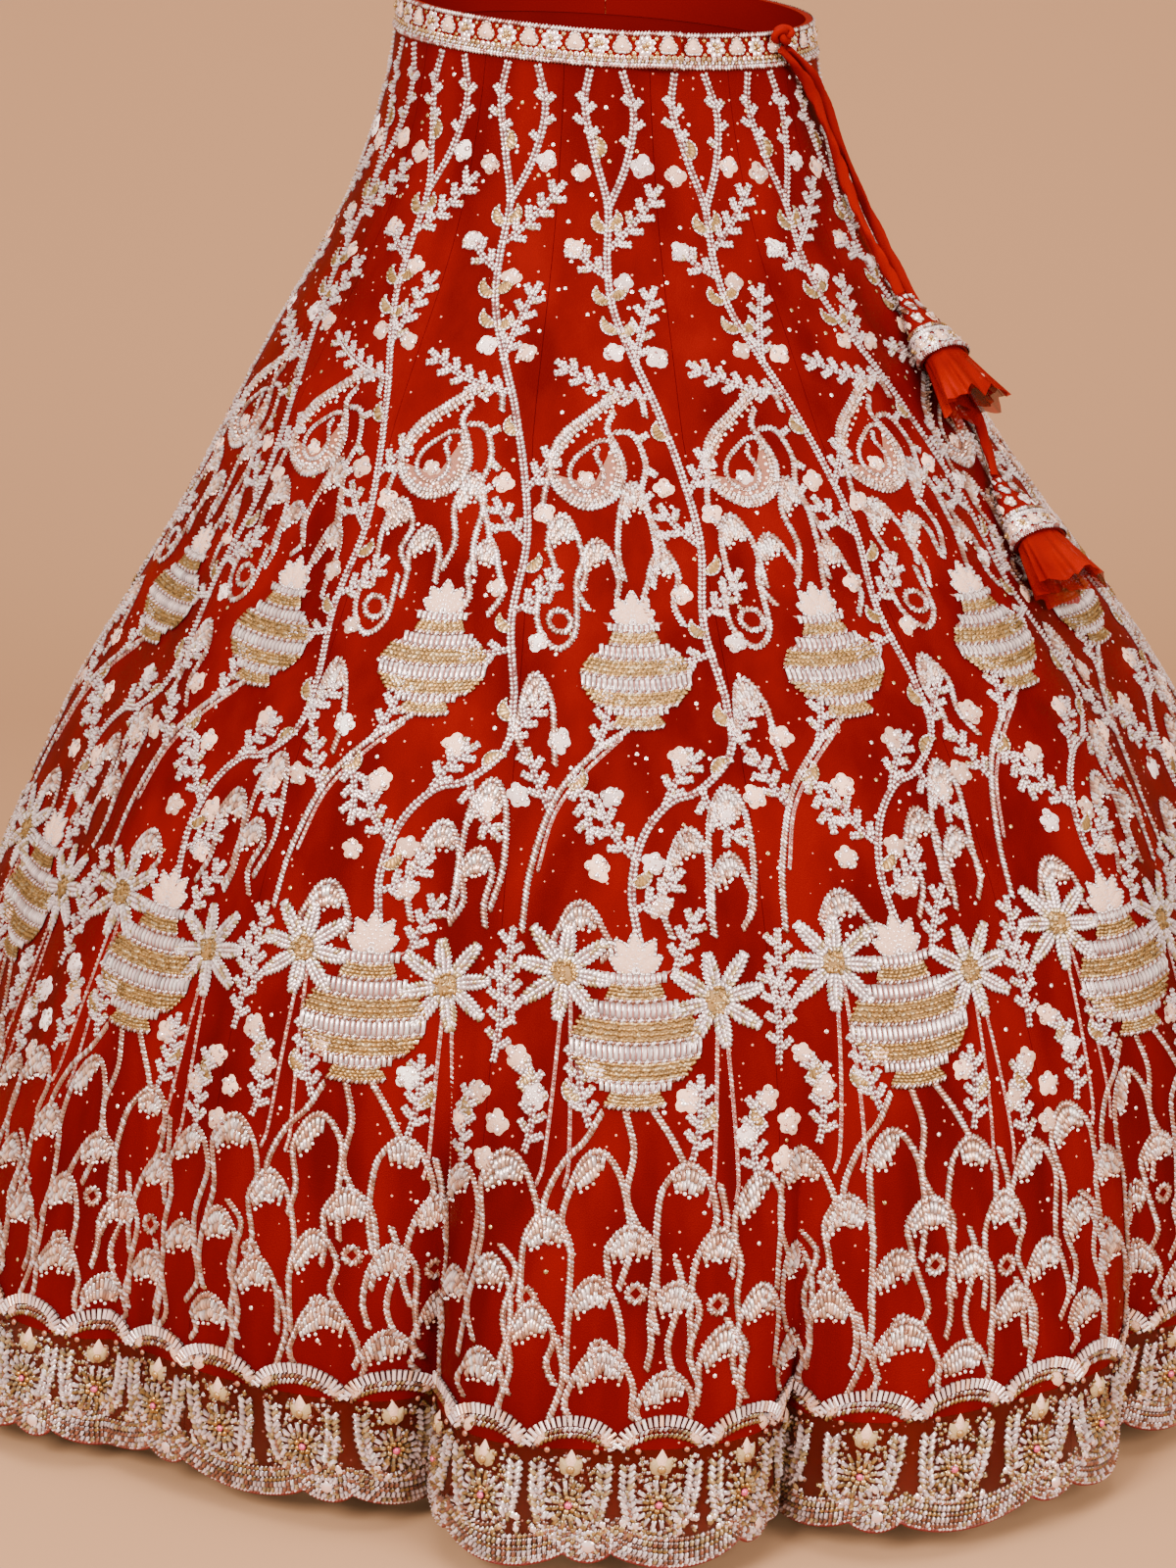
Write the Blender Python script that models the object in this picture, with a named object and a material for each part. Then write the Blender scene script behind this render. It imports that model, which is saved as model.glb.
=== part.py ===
"""Lehenga skirt: a flared, floor-length skirt of sixteen embroidered net kalis over a lining,
with an overlapping waistband, and a drawstring whose two tails end in cloth tassels.

Metres, +Z up. The origin is the middle of the waist opening, where the wearer holds the skirt up.
The front faces -Y. Angles run round the skirt from the front towards +X.
"""

import math

import bmesh
import bpy
import numpy as np
from mathutils import Vector

# Overall sizes
WAIST_HALF_WIDTH = 0.146
SKIRT_DROP = 0.93
FRONT_DIP = 0.010
SIDE_DIP = 0.010
SIDE_SWAY = 0.016
SWAY_START = 0.28
KALI_COUNT = 16
SEAM_GAP = 0.0003

# Share of the drop, half width in metres, depth as a share of the width
PROFILE = (
    (0.00, 0.146, 0.78),
    (0.06, 0.156, 0.80),
    (0.15, 0.185, 0.85),
    (0.25, 0.240, 0.91),
    (0.38, 0.314, 0.97),
    (0.52, 0.401, 0.98),
    (0.66, 0.466, 0.97),
    (0.80, 0.513, 0.97),
    (0.90, 0.533, 0.98),
    (1.00, 0.545, 0.98),
)

# Creases between the hem's flutes, round the skirt: angle in degrees, depth at the hem in metres,
# share of the drop where it starts, and how far the flute after it stands out at the hem
CREASES = (
    (-42.0, 0.030, 0.66, -0.030),
    (-14.2, 0.075, 0.58, 0.016),
    (13.0, 0.055, 0.62, 0.012),
    (42.5, 0.042, 0.66, -0.012),
    (68.0, 0.055, 0.60, 0.006),
    (95.0, 0.040, 0.68, 0.014),
    (121.0, 0.062, 0.59, -0.008),
    (149.0, 0.045, 0.66, 0.010),
    (178.0, 0.060, 0.61, 0.004),
    (206.0, 0.040, 0.67, -0.010),
    (233.0, 0.058, 0.60, 0.012),
    (262.0, 0.044, 0.65, 0.000),
    (290.0, 0.060, 0.62, 0.010),
)
LOBE_POWER = 4.0
LOBE_ROUNDNESS = 0.75
FLUTE_GROWTH = 1.4

# Soft rolls of the cloth between hip and flutes: waves round the skirt, and where each set starts
ROLL_HEIGHT = 0.004
ROLL_START = 0.2
ROLLS = ((9, 0.6), (14, 2.1))

# Waistband
BAND_HEIGHT = 0.0245
BAND_WALL = 0.0036
BAND_FACE = 0.0006
PIPING_OUT = 0.0018
PIPING_HEIGHT = 0.0030
PIPING_BEVEL = 0.3
OVERLAP_LIFT = 0.0060
SLIT_ANGLE = 56.25
SLIT_HALF_GAP = 0.0010
SLIT_SHARE = 0.16
BAND_STEP_DEGREES = 6.0

# Name, first and last angle in degrees
BANDS = (
    ("waistband_front", -90.0, 19.5),
    ("waistband_overlap", 13.0, 56.25),
    ("waistband_back_right", 56.25, 180.0),
    ("waistband_back_left", 180.0, 270.0),
)
OVERLAP_RAMP = (6.0, 12.5)
OVERLAP_RAMP_STOPS = 4

# Kali walls
NET_WALL = 0.0015
BORDER_RELIEF = 0.0009
BORDER_SHARE = 0.925
ROWS_ABOVE = (0.0, 0.07, 0.16, 0.27, 0.40, 0.53, 0.64)
KALI_ROWS_BELOW = (0.72, 0.81, 0.885, 0.925, 1.0)
WIDE_SCALLOP = 0.74
WIDE_SCALLOP_DEPTH = 0.012
SMALL_SCALLOP_DEPTH = 0.007
WIDE_SCALLOP_STEPS = 4
SMALL_SCALLOP_STEPS = 3
SCALLOP_ROUNDNESS = 0.7
BORDER_REPEATS = 2

# Lining
LINING_COUNT = 8
LINING_WALL = 0.0012
LINING_CLEARANCE = 0.0006
LINING_FALL = 0.0035
LINING_FALL_SHARE = 0.25
LINING_FOLD = 0.35
LINING_ROWS_BELOW = (0.72, 0.82, 0.905)
LINING_COLUMNS = 8

# Drawstring tails: angle in degrees, share of the drop, and height above the cloth
TAIL_DIAMETER = 0.0065
TAIL_POINT_SPACING = 0.016
TAIL_ROUTES = {
    "dori_tail_1": (
        (51.3, 0.0146, 0.0075),
        (57.5, 0.0310, 0.0088),
        (65.0, 0.0560, 0.0078),
        (69.0, 0.0920, 0.0078),
        (70.0, 0.1280, 0.0078),
        (70.5, 0.1600, 0.0078),
        (71.2, 0.1850, 0.0072),
        (71.5, 0.2080, 0.0068),
    ),
    "dori_tail_2": (
        (54.9, 0.0144, 0.0075),
        (62.0, 0.0310, 0.0088),
        (70.5, 0.0560, 0.0078),
        (76.0, 0.0980, 0.0078),
        (78.5, 0.1350, 0.0078),
        (78.5, 0.1720, 0.0078),
        (77.4, 0.2120, 0.0074),
        (76.6, 0.2460, 0.0070),
        (75.0, 0.2800, 0.0068),
        (71.8, 0.3120, 0.0066),
        (67.0, 0.3430, 0.0066),
    ),
}
KNOT_CENTRE = (53.0, 0.004, 0.0075)
KNOT_HALF_SIZES = (0.011, 0.0055, 0.0075)
KNOT_SEGMENTS = 14
KNOT_RINGS = 9
KNOT_LOBES = 3
KNOT_BULGE = 0.12

# Tassels: number and tail, then cone and net ruffle, with the shares of their length at each ring
TASSELS = ((1, "dori_tail_1"), (2, "dori_tail_2"))
CONE_RINGS = (0.0, 0.25, 0.6, 1.0)
CONE_SPREAD = 0.85
RUFFLE_RINGS = (0.0, 0.15, 0.55, 1.0)
RUFFLE_START = 0.9
RUFFLE_GATHER = 0.1
RUFFLE_SWINGS = 3
RUFFLE_SWING_SHARE = 0.4
CONE_LENGTH = 0.058
CONE_START = 0.0015
TASSEL_LEAN = -8.0
TASSEL_END_LIFT = 0.032
CONE_TIP_RADIUS = 0.0050
CONE_MOUTH_RADIUS = 0.029
CONE_WALL = 0.0016
CONE_FLATNESS = 0.52
CONE_SIDES = 20
RUFFLE_LENGTH = 0.056
RUFFLE_ROOT_RADIUS = 0.023
RUFFLE_HEM_RADIUS = 0.036
RUFFLE_WAVES = 7
RUFFLE_WAVE_HEIGHT = 0.0065
RUFFLE_SIDES = 36
RUFFLE_WALL = 0.0011

# Colours as red, green and blue, with roughness
NET_RED = ((0.55, 0.012, 0.010), 0.65)
LINING_RED = ((0.50, 0.010, 0.012), 0.38)
BAND_RED = ((0.60, 0.20, 0.16), 0.50)
DORI_RED = ((0.62, 0.020, 0.012), 0.60)
RUFFLE_RED = ((0.70, 0.030, 0.010), 0.70)

# Finite step of the normals, samples of a length, and the angle at which shading breaks
FINITE_STEP = 1e-4
SEAM_SAMPLES = 121
ROUTE_SAMPLES = 200
SHARP_EDGE = 50.0


def cubic_between(f, step, start, end, slope_start, slope_end):
    """A cubic curve between two values, at the share f of a step, from the slope at either end."""
    return (
        (2 * f**3 - 3 * f**2 + 1) * start
        + (f**3 - 2 * f**2 + f) * step * slope_start
        + (3 * f**2 - 2 * f**3) * end
        + (f**3 - f**2) * step * slope_end
    )


def smooth_column(share, column):
    """A smooth curve through one column of the profile, read at an array of shares."""
    rows = np.array(PROFILE)
    x, y = rows[:, 0], rows[:, column]
    slopes = np.gradient(y, x)
    share = np.clip(share, x[0], x[-1])
    i = np.clip(np.searchsorted(x, share, side="right") - 1, 0, len(x) - 2)
    step = x[i + 1] - x[i]
    return cubic_between((share - x[i]) / step, step, y[i], y[i + 1], slopes[i], slopes[i + 1])


def growth(share, start):
    """How far a flute has opened at a share of the drop: 0 at its start and 1 at the hem."""
    return np.maximum((share - start) / (1.0 - start), 0.0) ** FLUTE_GROWTH


def hump(share, start):
    """A smooth rise and fall from a share of the drop to the hem: 0 at both and 1 midway."""
    return np.sin(np.pi * np.clip((share - start) / (1.0 - start), 0.0, 1.0))


def flute_offset(degrees, share, lining=False):
    """How far the cloth stands out from, or folds in behind, the plain bell.

    The lining has less flare: it hangs inside the net's creases, in softer folds.
    """
    table = np.array(CREASES)
    first = table[0, 0]
    turn = (degrees - first) % 360.0
    starts = np.append(table[:, 0] - first, 360.0)
    i = np.clip(np.searchsorted(starts, turn, side="right") - 1, 0, len(table) - 1)
    after = (i + 1) % len(table)
    s = 2.0 * (turn - starts[i]) / (starts[i + 1] - starts[i]) - 1.0
    lobe = (1.0 - np.abs(s) ** LOBE_POWER) ** LOBE_ROUNDNESS
    left = table[i, 1] * growth(share, table[i, 2])
    right = table[after, 1] * growth(share, table[after, 2])
    depth = left + (right - left) * (s + 1.0) / 2.0
    if lining:
        return depth * (LINING_FOLD * np.cos(np.pi * s / 2.0) ** 2 - 1.0)
    crest = table[i, 3] * growth(share, np.minimum(table[i, 2], table[after, 2]))
    return crest * lobe - depth * (1.0 - lobe)


def soft_rolls(degrees, share):
    """Low rolls of the hanging cloth, none at the waist and none at the hem."""
    height = ROLL_HEIGHT * hump(share, ROLL_START)
    return height * sum(np.sin(np.radians(degrees) * waves + start) for waves, start in ROLLS)


def cloth(degrees, share, lining=False):
    """Points of the outer cloth or the lining, for arrays of angles and shares of the drop."""
    degrees, share = np.broadcast_arrays(np.asarray(degrees, float), np.asarray(share, float))
    angle = np.radians(degrees)
    width = smooth_column(share, 1)
    depth = width * smooth_column(share, 2)
    out = flute_offset(degrees, share, lining) + soft_rolls(degrees, share)
    normal = np.hypot(depth * np.sin(angle), width * np.cos(angle))
    sway = SIDE_SWAY * hump(share, SWAY_START)
    x = width * np.sin(angle) + out * depth * np.sin(angle) / normal + sway
    y = -depth * np.cos(angle) - out * width * np.cos(angle) / normal
    dip = FRONT_DIP * np.cos(angle) + SIDE_DIP * np.sin(angle)
    z = -SKIRT_DROP * share - dip * np.clip(1.0 - share, 0.0, 1.0) ** 2
    return np.stack([x, y, z], axis=-1)


def outward(degrees, share, lining=False):
    """Unit normals of the outer cloth or the lining."""
    turn = math.degrees(FINITE_STEP)
    along = cloth(degrees + turn, share, lining) - cloth(degrees - turn, share, lining)
    down = cloth(degrees, share + FINITE_STEP, lining) - cloth(degrees, share - FINITE_STEP, lining)
    normal = np.cross(down, along)
    return normal / np.linalg.norm(normal, axis=-1, keepdims=True)


def cloth_lifted(degrees, share, lift, lining=False):
    """Points at a height over the outer cloth or the lining, or under it where it is negative."""
    degrees, share = np.asarray(degrees, float), np.asarray(share, float)
    return cloth(degrees, share, lining) + outward(degrees, share, lining) * np.asarray(lift)[..., None]


def angles_along(first, last, share, across, inset, lining):
    """Angles that divide the cloth's own length between two seams by the shares in `across`."""
    degrees = np.linspace(first, last, SEAM_SAMPLES)
    points = cloth(degrees, share, lining)
    length = np.concatenate([[0.0], np.cumsum(np.linalg.norm(np.diff(points, axis=0), axis=1))])
    wanted = inset[0] + np.asarray(across) * (length[-1] - inset[0] - inset[1])
    return np.interp(wanted, length, degrees)


def seam_inset(degrees, share):
    """Half the gap between two kalis at a seam; the placket slit beside the drawstring is wider."""
    at_slit = abs((degrees - SLIT_ANGLE + 180.0) % 360.0 - 180.0) < 0.01
    return SLIT_HALF_GAP if at_slit and share < SLIT_SHARE else SEAM_GAP / 2


def scallop_columns():
    """Shares across a kali of the columns of its hem, and how far each hangs below the hem line."""
    across, drop = [0.0], [0.0]
    scallops = (
        (WIDE_SCALLOP, WIDE_SCALLOP_DEPTH, WIDE_SCALLOP_STEPS),
        (1.0 - WIDE_SCALLOP, SMALL_SCALLOP_DEPTH, SMALL_SCALLOP_STEPS),
    )
    start = 0.0
    for width, depth, steps in scallops * BORDER_REPEATS:
        for step in range(1, steps + 1):
            across.append((start + width * step / steps) / BORDER_REPEATS)
            hang = math.sin(math.pi * step / steps) if step < steps else 0.0
            drop.append(depth * hang**SCALLOP_ROUNDNESS)
        start += width
    return np.array(across), np.array(drop)


def new_object(name, mesh, collection, material):
    """Adds an object for a finished mesh, with its material, to its collection."""
    mesh.materials.append(material)
    collection.objects.link(bpy.data.objects.new(name, mesh))


def bridge(bm, upper, lower):
    """Faces between two rows of vertices, of like number or with twice the steps in the lower row."""
    ratio = (len(lower) - 1) // (len(upper) - 1)
    for i in range(len(upper) - 1):
        a, b = upper[i], upper[i + 1]
        if ratio == 1:
            bm.faces.new((a, lower[i], lower[i + 1], b))
        else:
            bm.faces.new((a, lower[2 * i], lower[2 * i + 1]))
            bm.faces.new((a, lower[2 * i + 1], b))
            bm.faces.new((b, lower[2 * i + 1], lower[2 * i + 2]))


def cloth_wall(name, outer_rows, inner_rows, collection, material):
    """A closed wall between two sheets of cloth, given as rows of points from the top down."""
    bm = bmesh.new()
    outer = [[bm.verts.new(p) for p in row] for row in outer_rows]
    inner = [[bm.verts.new(p) for p in row] for row in inner_rows]
    for i in range(len(outer) - 1):
        bridge(bm, outer[i], outer[i + 1])
        bridge(bm, inner[i], inner[i + 1])
        for side in (0, -1):
            bm.faces.new((outer[i][side], outer[i + 1][side], inner[i + 1][side], inner[i][side]))
    for row in (0, -1):
        bridge(bm, outer[row], inner[row])
    bmesh.ops.recalc_face_normals(bm, faces=bm.faces)
    bmesh.ops.triangulate(bm, faces=bm.faces)
    mesh = bpy.data.meshes.new(name)
    bm.to_mesh(mesh)
    bm.free()
    mesh.shade_smooth()
    mesh.set_sharp_from_angle(angle=math.radians(SHARP_EDGE))
    new_object(name, mesh, collection, material)


def kali_rows(first, last, shares, across, drops):
    """Outer and inner rows of one embroidered kali, its beaded border raised on the outer side."""
    outer_rows, inner_rows = [], []
    for share in shares:
        pick = slice(None) if share >= KALI_ROWS_BELOW[0] else slice(None, None, 2)
        inset = (seam_inset(first, share), seam_inset(last, share))
        degrees = angles_along(first, last, share, across[pick], inset, False)
        reach = max(0.0, (share - BORDER_SHARE) / (1.0 - BORDER_SHARE))
        down = share + drops[pick] * reach / SKIRT_DROP
        relief = BORDER_RELIEF if reach > 0.0 else 0.0
        outer_rows.append(cloth_lifted(degrees, down, np.full(len(degrees), relief)))
        inner_rows.append(cloth_lifted(degrees, down, np.full(len(degrees), -NET_WALL)))
    return outer_rows, inner_rows


def lining_rows(first, last, shares, across):
    """Outer and inner rows of one lining gore, which falls clear of the net below the band."""
    outer_rows, inner_rows = [], []
    for share in shares:
        pick = slice(None) if share >= LINING_ROWS_BELOW[0] else slice(None, None, 2)
        degrees = angles_along(first, last, share, across[pick], (SEAM_GAP / 2, SEAM_GAP / 2), True)
        fall = LINING_FALL * min(1.0, (share - shares[0]) / LINING_FALL_SHARE)
        skin = np.full(len(degrees), NET_WALL + LINING_CLEARANCE + fall)
        outer_rows.append(cloth_lifted(degrees, share, -skin, True))
        inner_rows.append(cloth_lifted(degrees, share, -skin - LINING_WALL, True))
    return outer_rows, inner_rows


def below_band(shares):
    """Shares of the drop for rows that start under the waistband."""
    top = (BAND_HEIGHT + SEAM_GAP) / SKIRT_DROP
    return [top + (1.0 - top) * s for s in shares]


def build_kalis(collection, material):
    """Sixteen embroidered net kalis, the first at the front."""
    across, drops = scallop_columns()
    shares = below_band(ROWS_ABOVE + KALI_ROWS_BELOW)
    step = 360.0 / KALI_COUNT
    for number in range(KALI_COUNT):
        first = (number - 0.5) * step
        rows = kali_rows(first, first + step, shares, across, drops)
        cloth_wall(f"kali_{number + 1:02d}", *rows, collection, material)


def build_lining(collection, material):
    """Eight lining gores inside the net, which end above the hem."""
    across = np.linspace(0.0, 1.0, 2 * LINING_COLUMNS + 1)
    shares = below_band(ROWS_ABOVE + LINING_ROWS_BELOW)
    step = 360.0 / LINING_COUNT
    for number in range(LINING_COUNT):
        first = number * step - 180.0 / KALI_COUNT
        rows = lining_rows(first, first + step, shares, across)
        cloth_wall(f"lining_{number + 1:02d}", *rows, collection, material)


def band_section():
    """Section of the waistband as (out from the cloth, down from its top), with piped edges."""
    lower = BAND_HEIGHT - PIPING_HEIGHT
    bevel = PIPING_HEIGHT * PIPING_BEVEL
    return (
        (-BAND_WALL, 0.0),
        (BAND_FACE, 0.0),
        (PIPING_OUT, bevel),
        (PIPING_OUT, PIPING_HEIGHT - bevel),
        (BAND_FACE, PIPING_HEIGHT),
        (BAND_FACE, lower),
        (PIPING_OUT, lower + bevel),
        (PIPING_OUT, BAND_HEIGHT - bevel),
        (BAND_FACE, BAND_HEIGHT),
        (-BAND_WALL, BAND_HEIGHT),
    )


def band_lift(name, degrees):
    """How far the front band stands out, where its end laps over the next length."""
    if name != "waistband_front":
        return 0.0
    start, end = OVERLAP_RAMP
    share = min(1.0, max(0.0, (degrees - start) / (end - start)))
    return OVERLAP_LIFT * share * share * (3.0 - 2.0 * share)


def build_waistband(collection, material):
    """Four lengths of band, the first lapping over the second, open at the placket slit."""
    section = band_section()
    for name, first, last in BANDS:
        inset = (seam_inset(first, 0.0), seam_inset(last, 0.0))
        first, last = angles_along(first, last, 0.0, (0.0, 1.0), inset, False)
        steps = math.ceil((last - first) / BAND_STEP_DEGREES)
        ramp = np.linspace(*OVERLAP_RAMP, OVERLAP_RAMP_STOPS) if name == "waistband_front" else ()
        stops = sorted(set(np.linspace(first, last, steps + 1)) | set(ramp))
        bm = bmesh.new()
        rings = []
        for degrees in stops:
            lift = band_lift(name, degrees)
            ring = [
                bm.verts.new(cloth_lifted(degrees, down / SKIRT_DROP, out + lift))
                for out, down in section
            ]
            rings.append(ring)
        for one, two in zip(rings, rings[1:]):
            for i in range(len(section)):
                j = (i + 1) % len(section)
                bm.faces.new((one[i], one[j], two[j], two[i]))
        bm.faces.new(rings[0])
        bm.faces.new(rings[-1])
        bmesh.ops.recalc_face_normals(bm, faces=bm.faces)
        bmesh.ops.triangulate(bm, faces=bm.faces)
        mesh = bpy.data.meshes.new(name)
        bm.to_mesh(mesh)
        bm.free()
        new_object(name, mesh, collection, material)


def smooth_route(stops):
    """A smooth curve over the cloth through a table of (angle, share, lift), at even spacing."""
    table = np.array(stops)
    fine = np.linspace(0, len(table) - 1, ROUTE_SAMPLES)
    slopes = np.gradient(table, axis=0)
    i = np.clip(fine.astype(int), 0, len(table) - 2)
    f = (fine - i)[:, None]
    read = cubic_between(f, 1.0, table[i], table[i + 1], slopes[i], slopes[i + 1])
    points = cloth_lifted(read[:, 0], read[:, 1], read[:, 2])
    length = np.concatenate([[0.0], np.cumsum(np.linalg.norm(np.diff(points, axis=0), axis=1))])
    count = math.ceil(length[-1] / TAIL_POINT_SPACING) + 1
    even = np.linspace(0.0, length[-1], count)
    return np.stack([np.interp(even, length, points[:, axis]) for axis in range(3)], axis=1)


def build_tail(name, collection, material):
    """One drawstring tail: a round fabric tube along its route."""
    points = smooth_route(TAIL_ROUTES[name])
    curve = bpy.data.curves.new(name, "CURVE")
    curve.dimensions = "3D"
    curve.bevel_depth = TAIL_DIAMETER / 2
    curve.bevel_resolution = 2
    curve.use_fill_caps = True
    spline = curve.splines.new("POLY")
    spline.points.add(len(points) - 1)
    for point, place in zip(spline.points, points):
        point.co = (*place, 1.0)
    curve.materials.append(material)
    collection.objects.link(bpy.data.objects.new(name, curve))


def build_knot(collection, material):
    """The knot that gathers both tails over the placket slit."""
    degrees, share, lift = KNOT_CENTRE
    centre = Vector(cloth_lifted(degrees, share, lift))
    out = Vector(outward(np.asarray(degrees), np.asarray(share)))
    along = out.cross(Vector((0.0, 0.0, 1.0))).normalized()
    up = along.cross(out)
    bm = bmesh.new()
    bmesh.ops.create_uvsphere(bm, u_segments=KNOT_SEGMENTS, v_segments=KNOT_RINGS, radius=1.0)
    for vertex in bm.verts:
        x, y, z = vertex.co
        bulge = 1.0 + KNOT_BULGE * math.cos(KNOT_LOBES * math.atan2(z, x))
        vertex.co = (
            centre
            + along * (x * bulge * KNOT_HALF_SIZES[0])
            + out * (y * KNOT_HALF_SIZES[1])
            + up * (z * bulge * KNOT_HALF_SIZES[2])
        )
    if bm.calc_volume(signed=True) < 0.0:
        bmesh.ops.reverse_faces(bm, faces=bm.faces)
    mesh = bpy.data.meshes.new("dori_knot")
    bm.to_mesh(mesh)
    bm.free()
    mesh.shade_smooth()
    new_object("dori_knot", mesh, collection, material)


def tassel_frame(tail):
    """Where a tassel starts, its direction down the skirt, its side and the way out from the cloth."""
    degrees, share, _ = TAIL_ROUTES[tail][-1]
    degrees, share = np.asarray(degrees), np.asarray(share)
    reach = (CONE_LENGTH + RUFFLE_LENGTH) / SKIRT_DROP
    start = Vector(cloth_lifted(degrees, share, TAIL_ROUTES[tail][-1][2]))
    end = Vector(cloth_lifted(degrees + TASSEL_LEAN, share + reach, TASSEL_END_LIFT))
    down = (end - start).normalized()
    out = Vector(outward(degrees, share + reach / 2))
    side = down.cross(out).normalized()
    return start, down, side, side.cross(down).normalized()


def ring_points(centre, side, out, radii):
    """A ring of points about a centre, flattened towards the cloth, one radius for each point."""
    count = len(radii)
    ring = []
    for i, radius in enumerate(radii):
        angle = 2.0 * math.pi * i / count
        across = side * (radius * math.cos(angle))
        ring.append(centre + across + out * (radius * CONE_FLATNESS * math.sin(angle)))
    return ring


def closed_sleeve(name, outer, inner, collection, material, tip_closed):
    """A sleeve with a wall, from outer and inner rings; its tip may be closed to a full cap."""
    bm = bmesh.new()
    outer = [[bm.verts.new(p) for p in ring] for ring in outer]
    inner = [[bm.verts.new(p) for p in ring] for ring in inner]
    count = len(outer[0])
    for rings in (outer, inner):
        for one, two in zip(rings, rings[1:]):
            for i in range(count):
                j = (i + 1) % count
                bm.faces.new((one[i], one[j], two[j], two[i]))
    for i in range(count):
        j = (i + 1) % count
        bm.faces.new((outer[-1][i], outer[-1][j], inner[-1][j], inner[-1][i]))
        if not tip_closed:
            bm.faces.new((outer[0][i], outer[0][j], inner[0][j], inner[0][i]))
    if tip_closed:
        bm.faces.new(outer[0])
        bm.faces.new(inner[0])
    bmesh.ops.recalc_face_normals(bm, faces=bm.faces)
    bmesh.ops.triangulate(bm, faces=bm.faces)
    mesh = bpy.data.meshes.new(name)
    bm.to_mesh(mesh)
    bm.free()
    mesh.shade_smooth()
    mesh.set_sharp_from_angle(angle=math.radians(SHARP_EDGE))
    new_object(name, mesh, collection, material)


def build_tassel(number, tail, collection, cone_material, ruffle_material):
    """An embroidered cone at a tail's end, with a gathered net ruffle coming out of its mouth."""
    start, down, side, out = tassel_frame(tail)
    start = start + down * CONE_START
    outer, inner = [], []
    for share in CONE_RINGS:
        radius = CONE_TIP_RADIUS + (CONE_MOUTH_RADIUS - CONE_TIP_RADIUS) * share**CONE_SPREAD
        centre = start + down * (CONE_LENGTH * share)
        outer.append(ring_points(centre, side, out, [radius] * CONE_SIDES))
        within = start + down * max(CONE_LENGTH * share, CONE_WALL)
        inner.append(ring_points(within, side, out, [radius - CONE_WALL / CONE_FLATNESS] * CONE_SIDES))
    closed_sleeve(f"tassel_cone_{number}", outer, inner, collection, cone_material, True)

    outer, inner = [], []
    root = start + down * (CONE_LENGTH * RUFFLE_START)
    for share in RUFFLE_RINGS:
        wave = RUFFLE_WAVE_HEIGHT * max(0.0, share - RUFFLE_GATHER)
        radius = RUFFLE_ROOT_RADIUS + (RUFFLE_HEM_RADIUS - RUFFLE_ROOT_RADIUS) * share
        radii = []
        for i in range(RUFFLE_SIDES):
            turn = 2.0 * math.pi * i / RUFFLE_SIDES
            swing = RUFFLE_SWING_SHARE * math.sin(RUFFLE_SWINGS * turn + number)
            radii.append(radius + wave * (math.sin(RUFFLE_WAVES * turn) + swing))
        centre = root + down * (RUFFLE_LENGTH * share)
        outer.append(ring_points(centre, side, out, radii))
        inner.append(ring_points(centre, side, out, [r - RUFFLE_WALL / CONE_FLATNESS for r in radii]))
    closed_sleeve(f"tassel_ruffle_{number}", outer, inner, collection, ruffle_material, False)


def principled(name, finish):
    """A plain cloth material from a colour and a roughness."""
    colour, roughness = finish
    material = bpy.data.materials.new(name)
    material.use_nodes = True
    shader = material.node_tree.nodes["Principled BSDF"]
    shader.inputs["Base Color"].default_value = (*colour, 1.0)
    shader.inputs["Roughness"].default_value = roughness
    shader.inputs["Metallic"].default_value = 0.0
    return material


def main():
    """Clears the file and builds the skirt."""
    for item in list(bpy.data.objects):
        bpy.data.objects.remove(item)
    collection = bpy.data.collections.new("lehenga_skirt")
    bpy.context.scene.collection.children.link(collection)
    net = principled("embroidered_net", NET_RED)
    build_kalis(collection, net)
    build_lining(collection, principled("satin_lining", LINING_RED))
    build_waistband(collection, principled("beaded_band", BAND_RED))
    dori = principled("dori_cloth", DORI_RED)
    for tail in TAIL_ROUTES:
        build_tail(tail, collection, dori)
    build_knot(collection, dori)
    ruffle = principled("tassel_net", RUFFLE_RED)
    for number, tail in TASSELS:
        build_tassel(number, tail, collection, net, ruffle)


main()
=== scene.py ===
"""Looks of a bridal lehenga skirt: beaded net kalis, satin lining, waistband, drawstring and tassels.

Metres, +Z up; the front of the skirt faces -Y. Angles run round the skirt from the front towards +X.
The embroidery is drawn flat, in complex numbers: right and up along the cloth, in metres, from the
waist on a kali's centre line. It is then laid on the worn cloth.
"""

import logging
import math
from dataclasses import dataclass, field
from enum import IntEnum

import bmesh
import bpy
import numpy as np
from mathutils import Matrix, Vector


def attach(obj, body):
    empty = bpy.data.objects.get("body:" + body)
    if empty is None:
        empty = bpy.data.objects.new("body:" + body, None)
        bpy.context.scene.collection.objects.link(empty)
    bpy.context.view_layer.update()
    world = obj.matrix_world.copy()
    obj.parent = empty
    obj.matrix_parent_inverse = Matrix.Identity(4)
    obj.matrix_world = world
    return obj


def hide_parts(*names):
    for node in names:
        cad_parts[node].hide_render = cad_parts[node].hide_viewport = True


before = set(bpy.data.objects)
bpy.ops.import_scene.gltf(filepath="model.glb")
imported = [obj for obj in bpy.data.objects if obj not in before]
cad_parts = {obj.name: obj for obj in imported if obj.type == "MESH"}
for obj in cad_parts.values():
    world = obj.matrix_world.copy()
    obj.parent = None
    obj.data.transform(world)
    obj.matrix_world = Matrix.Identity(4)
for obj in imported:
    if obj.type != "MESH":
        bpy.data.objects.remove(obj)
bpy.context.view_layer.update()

LOG = logging.getLogger("lehenga")
BODY = "root"

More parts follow.
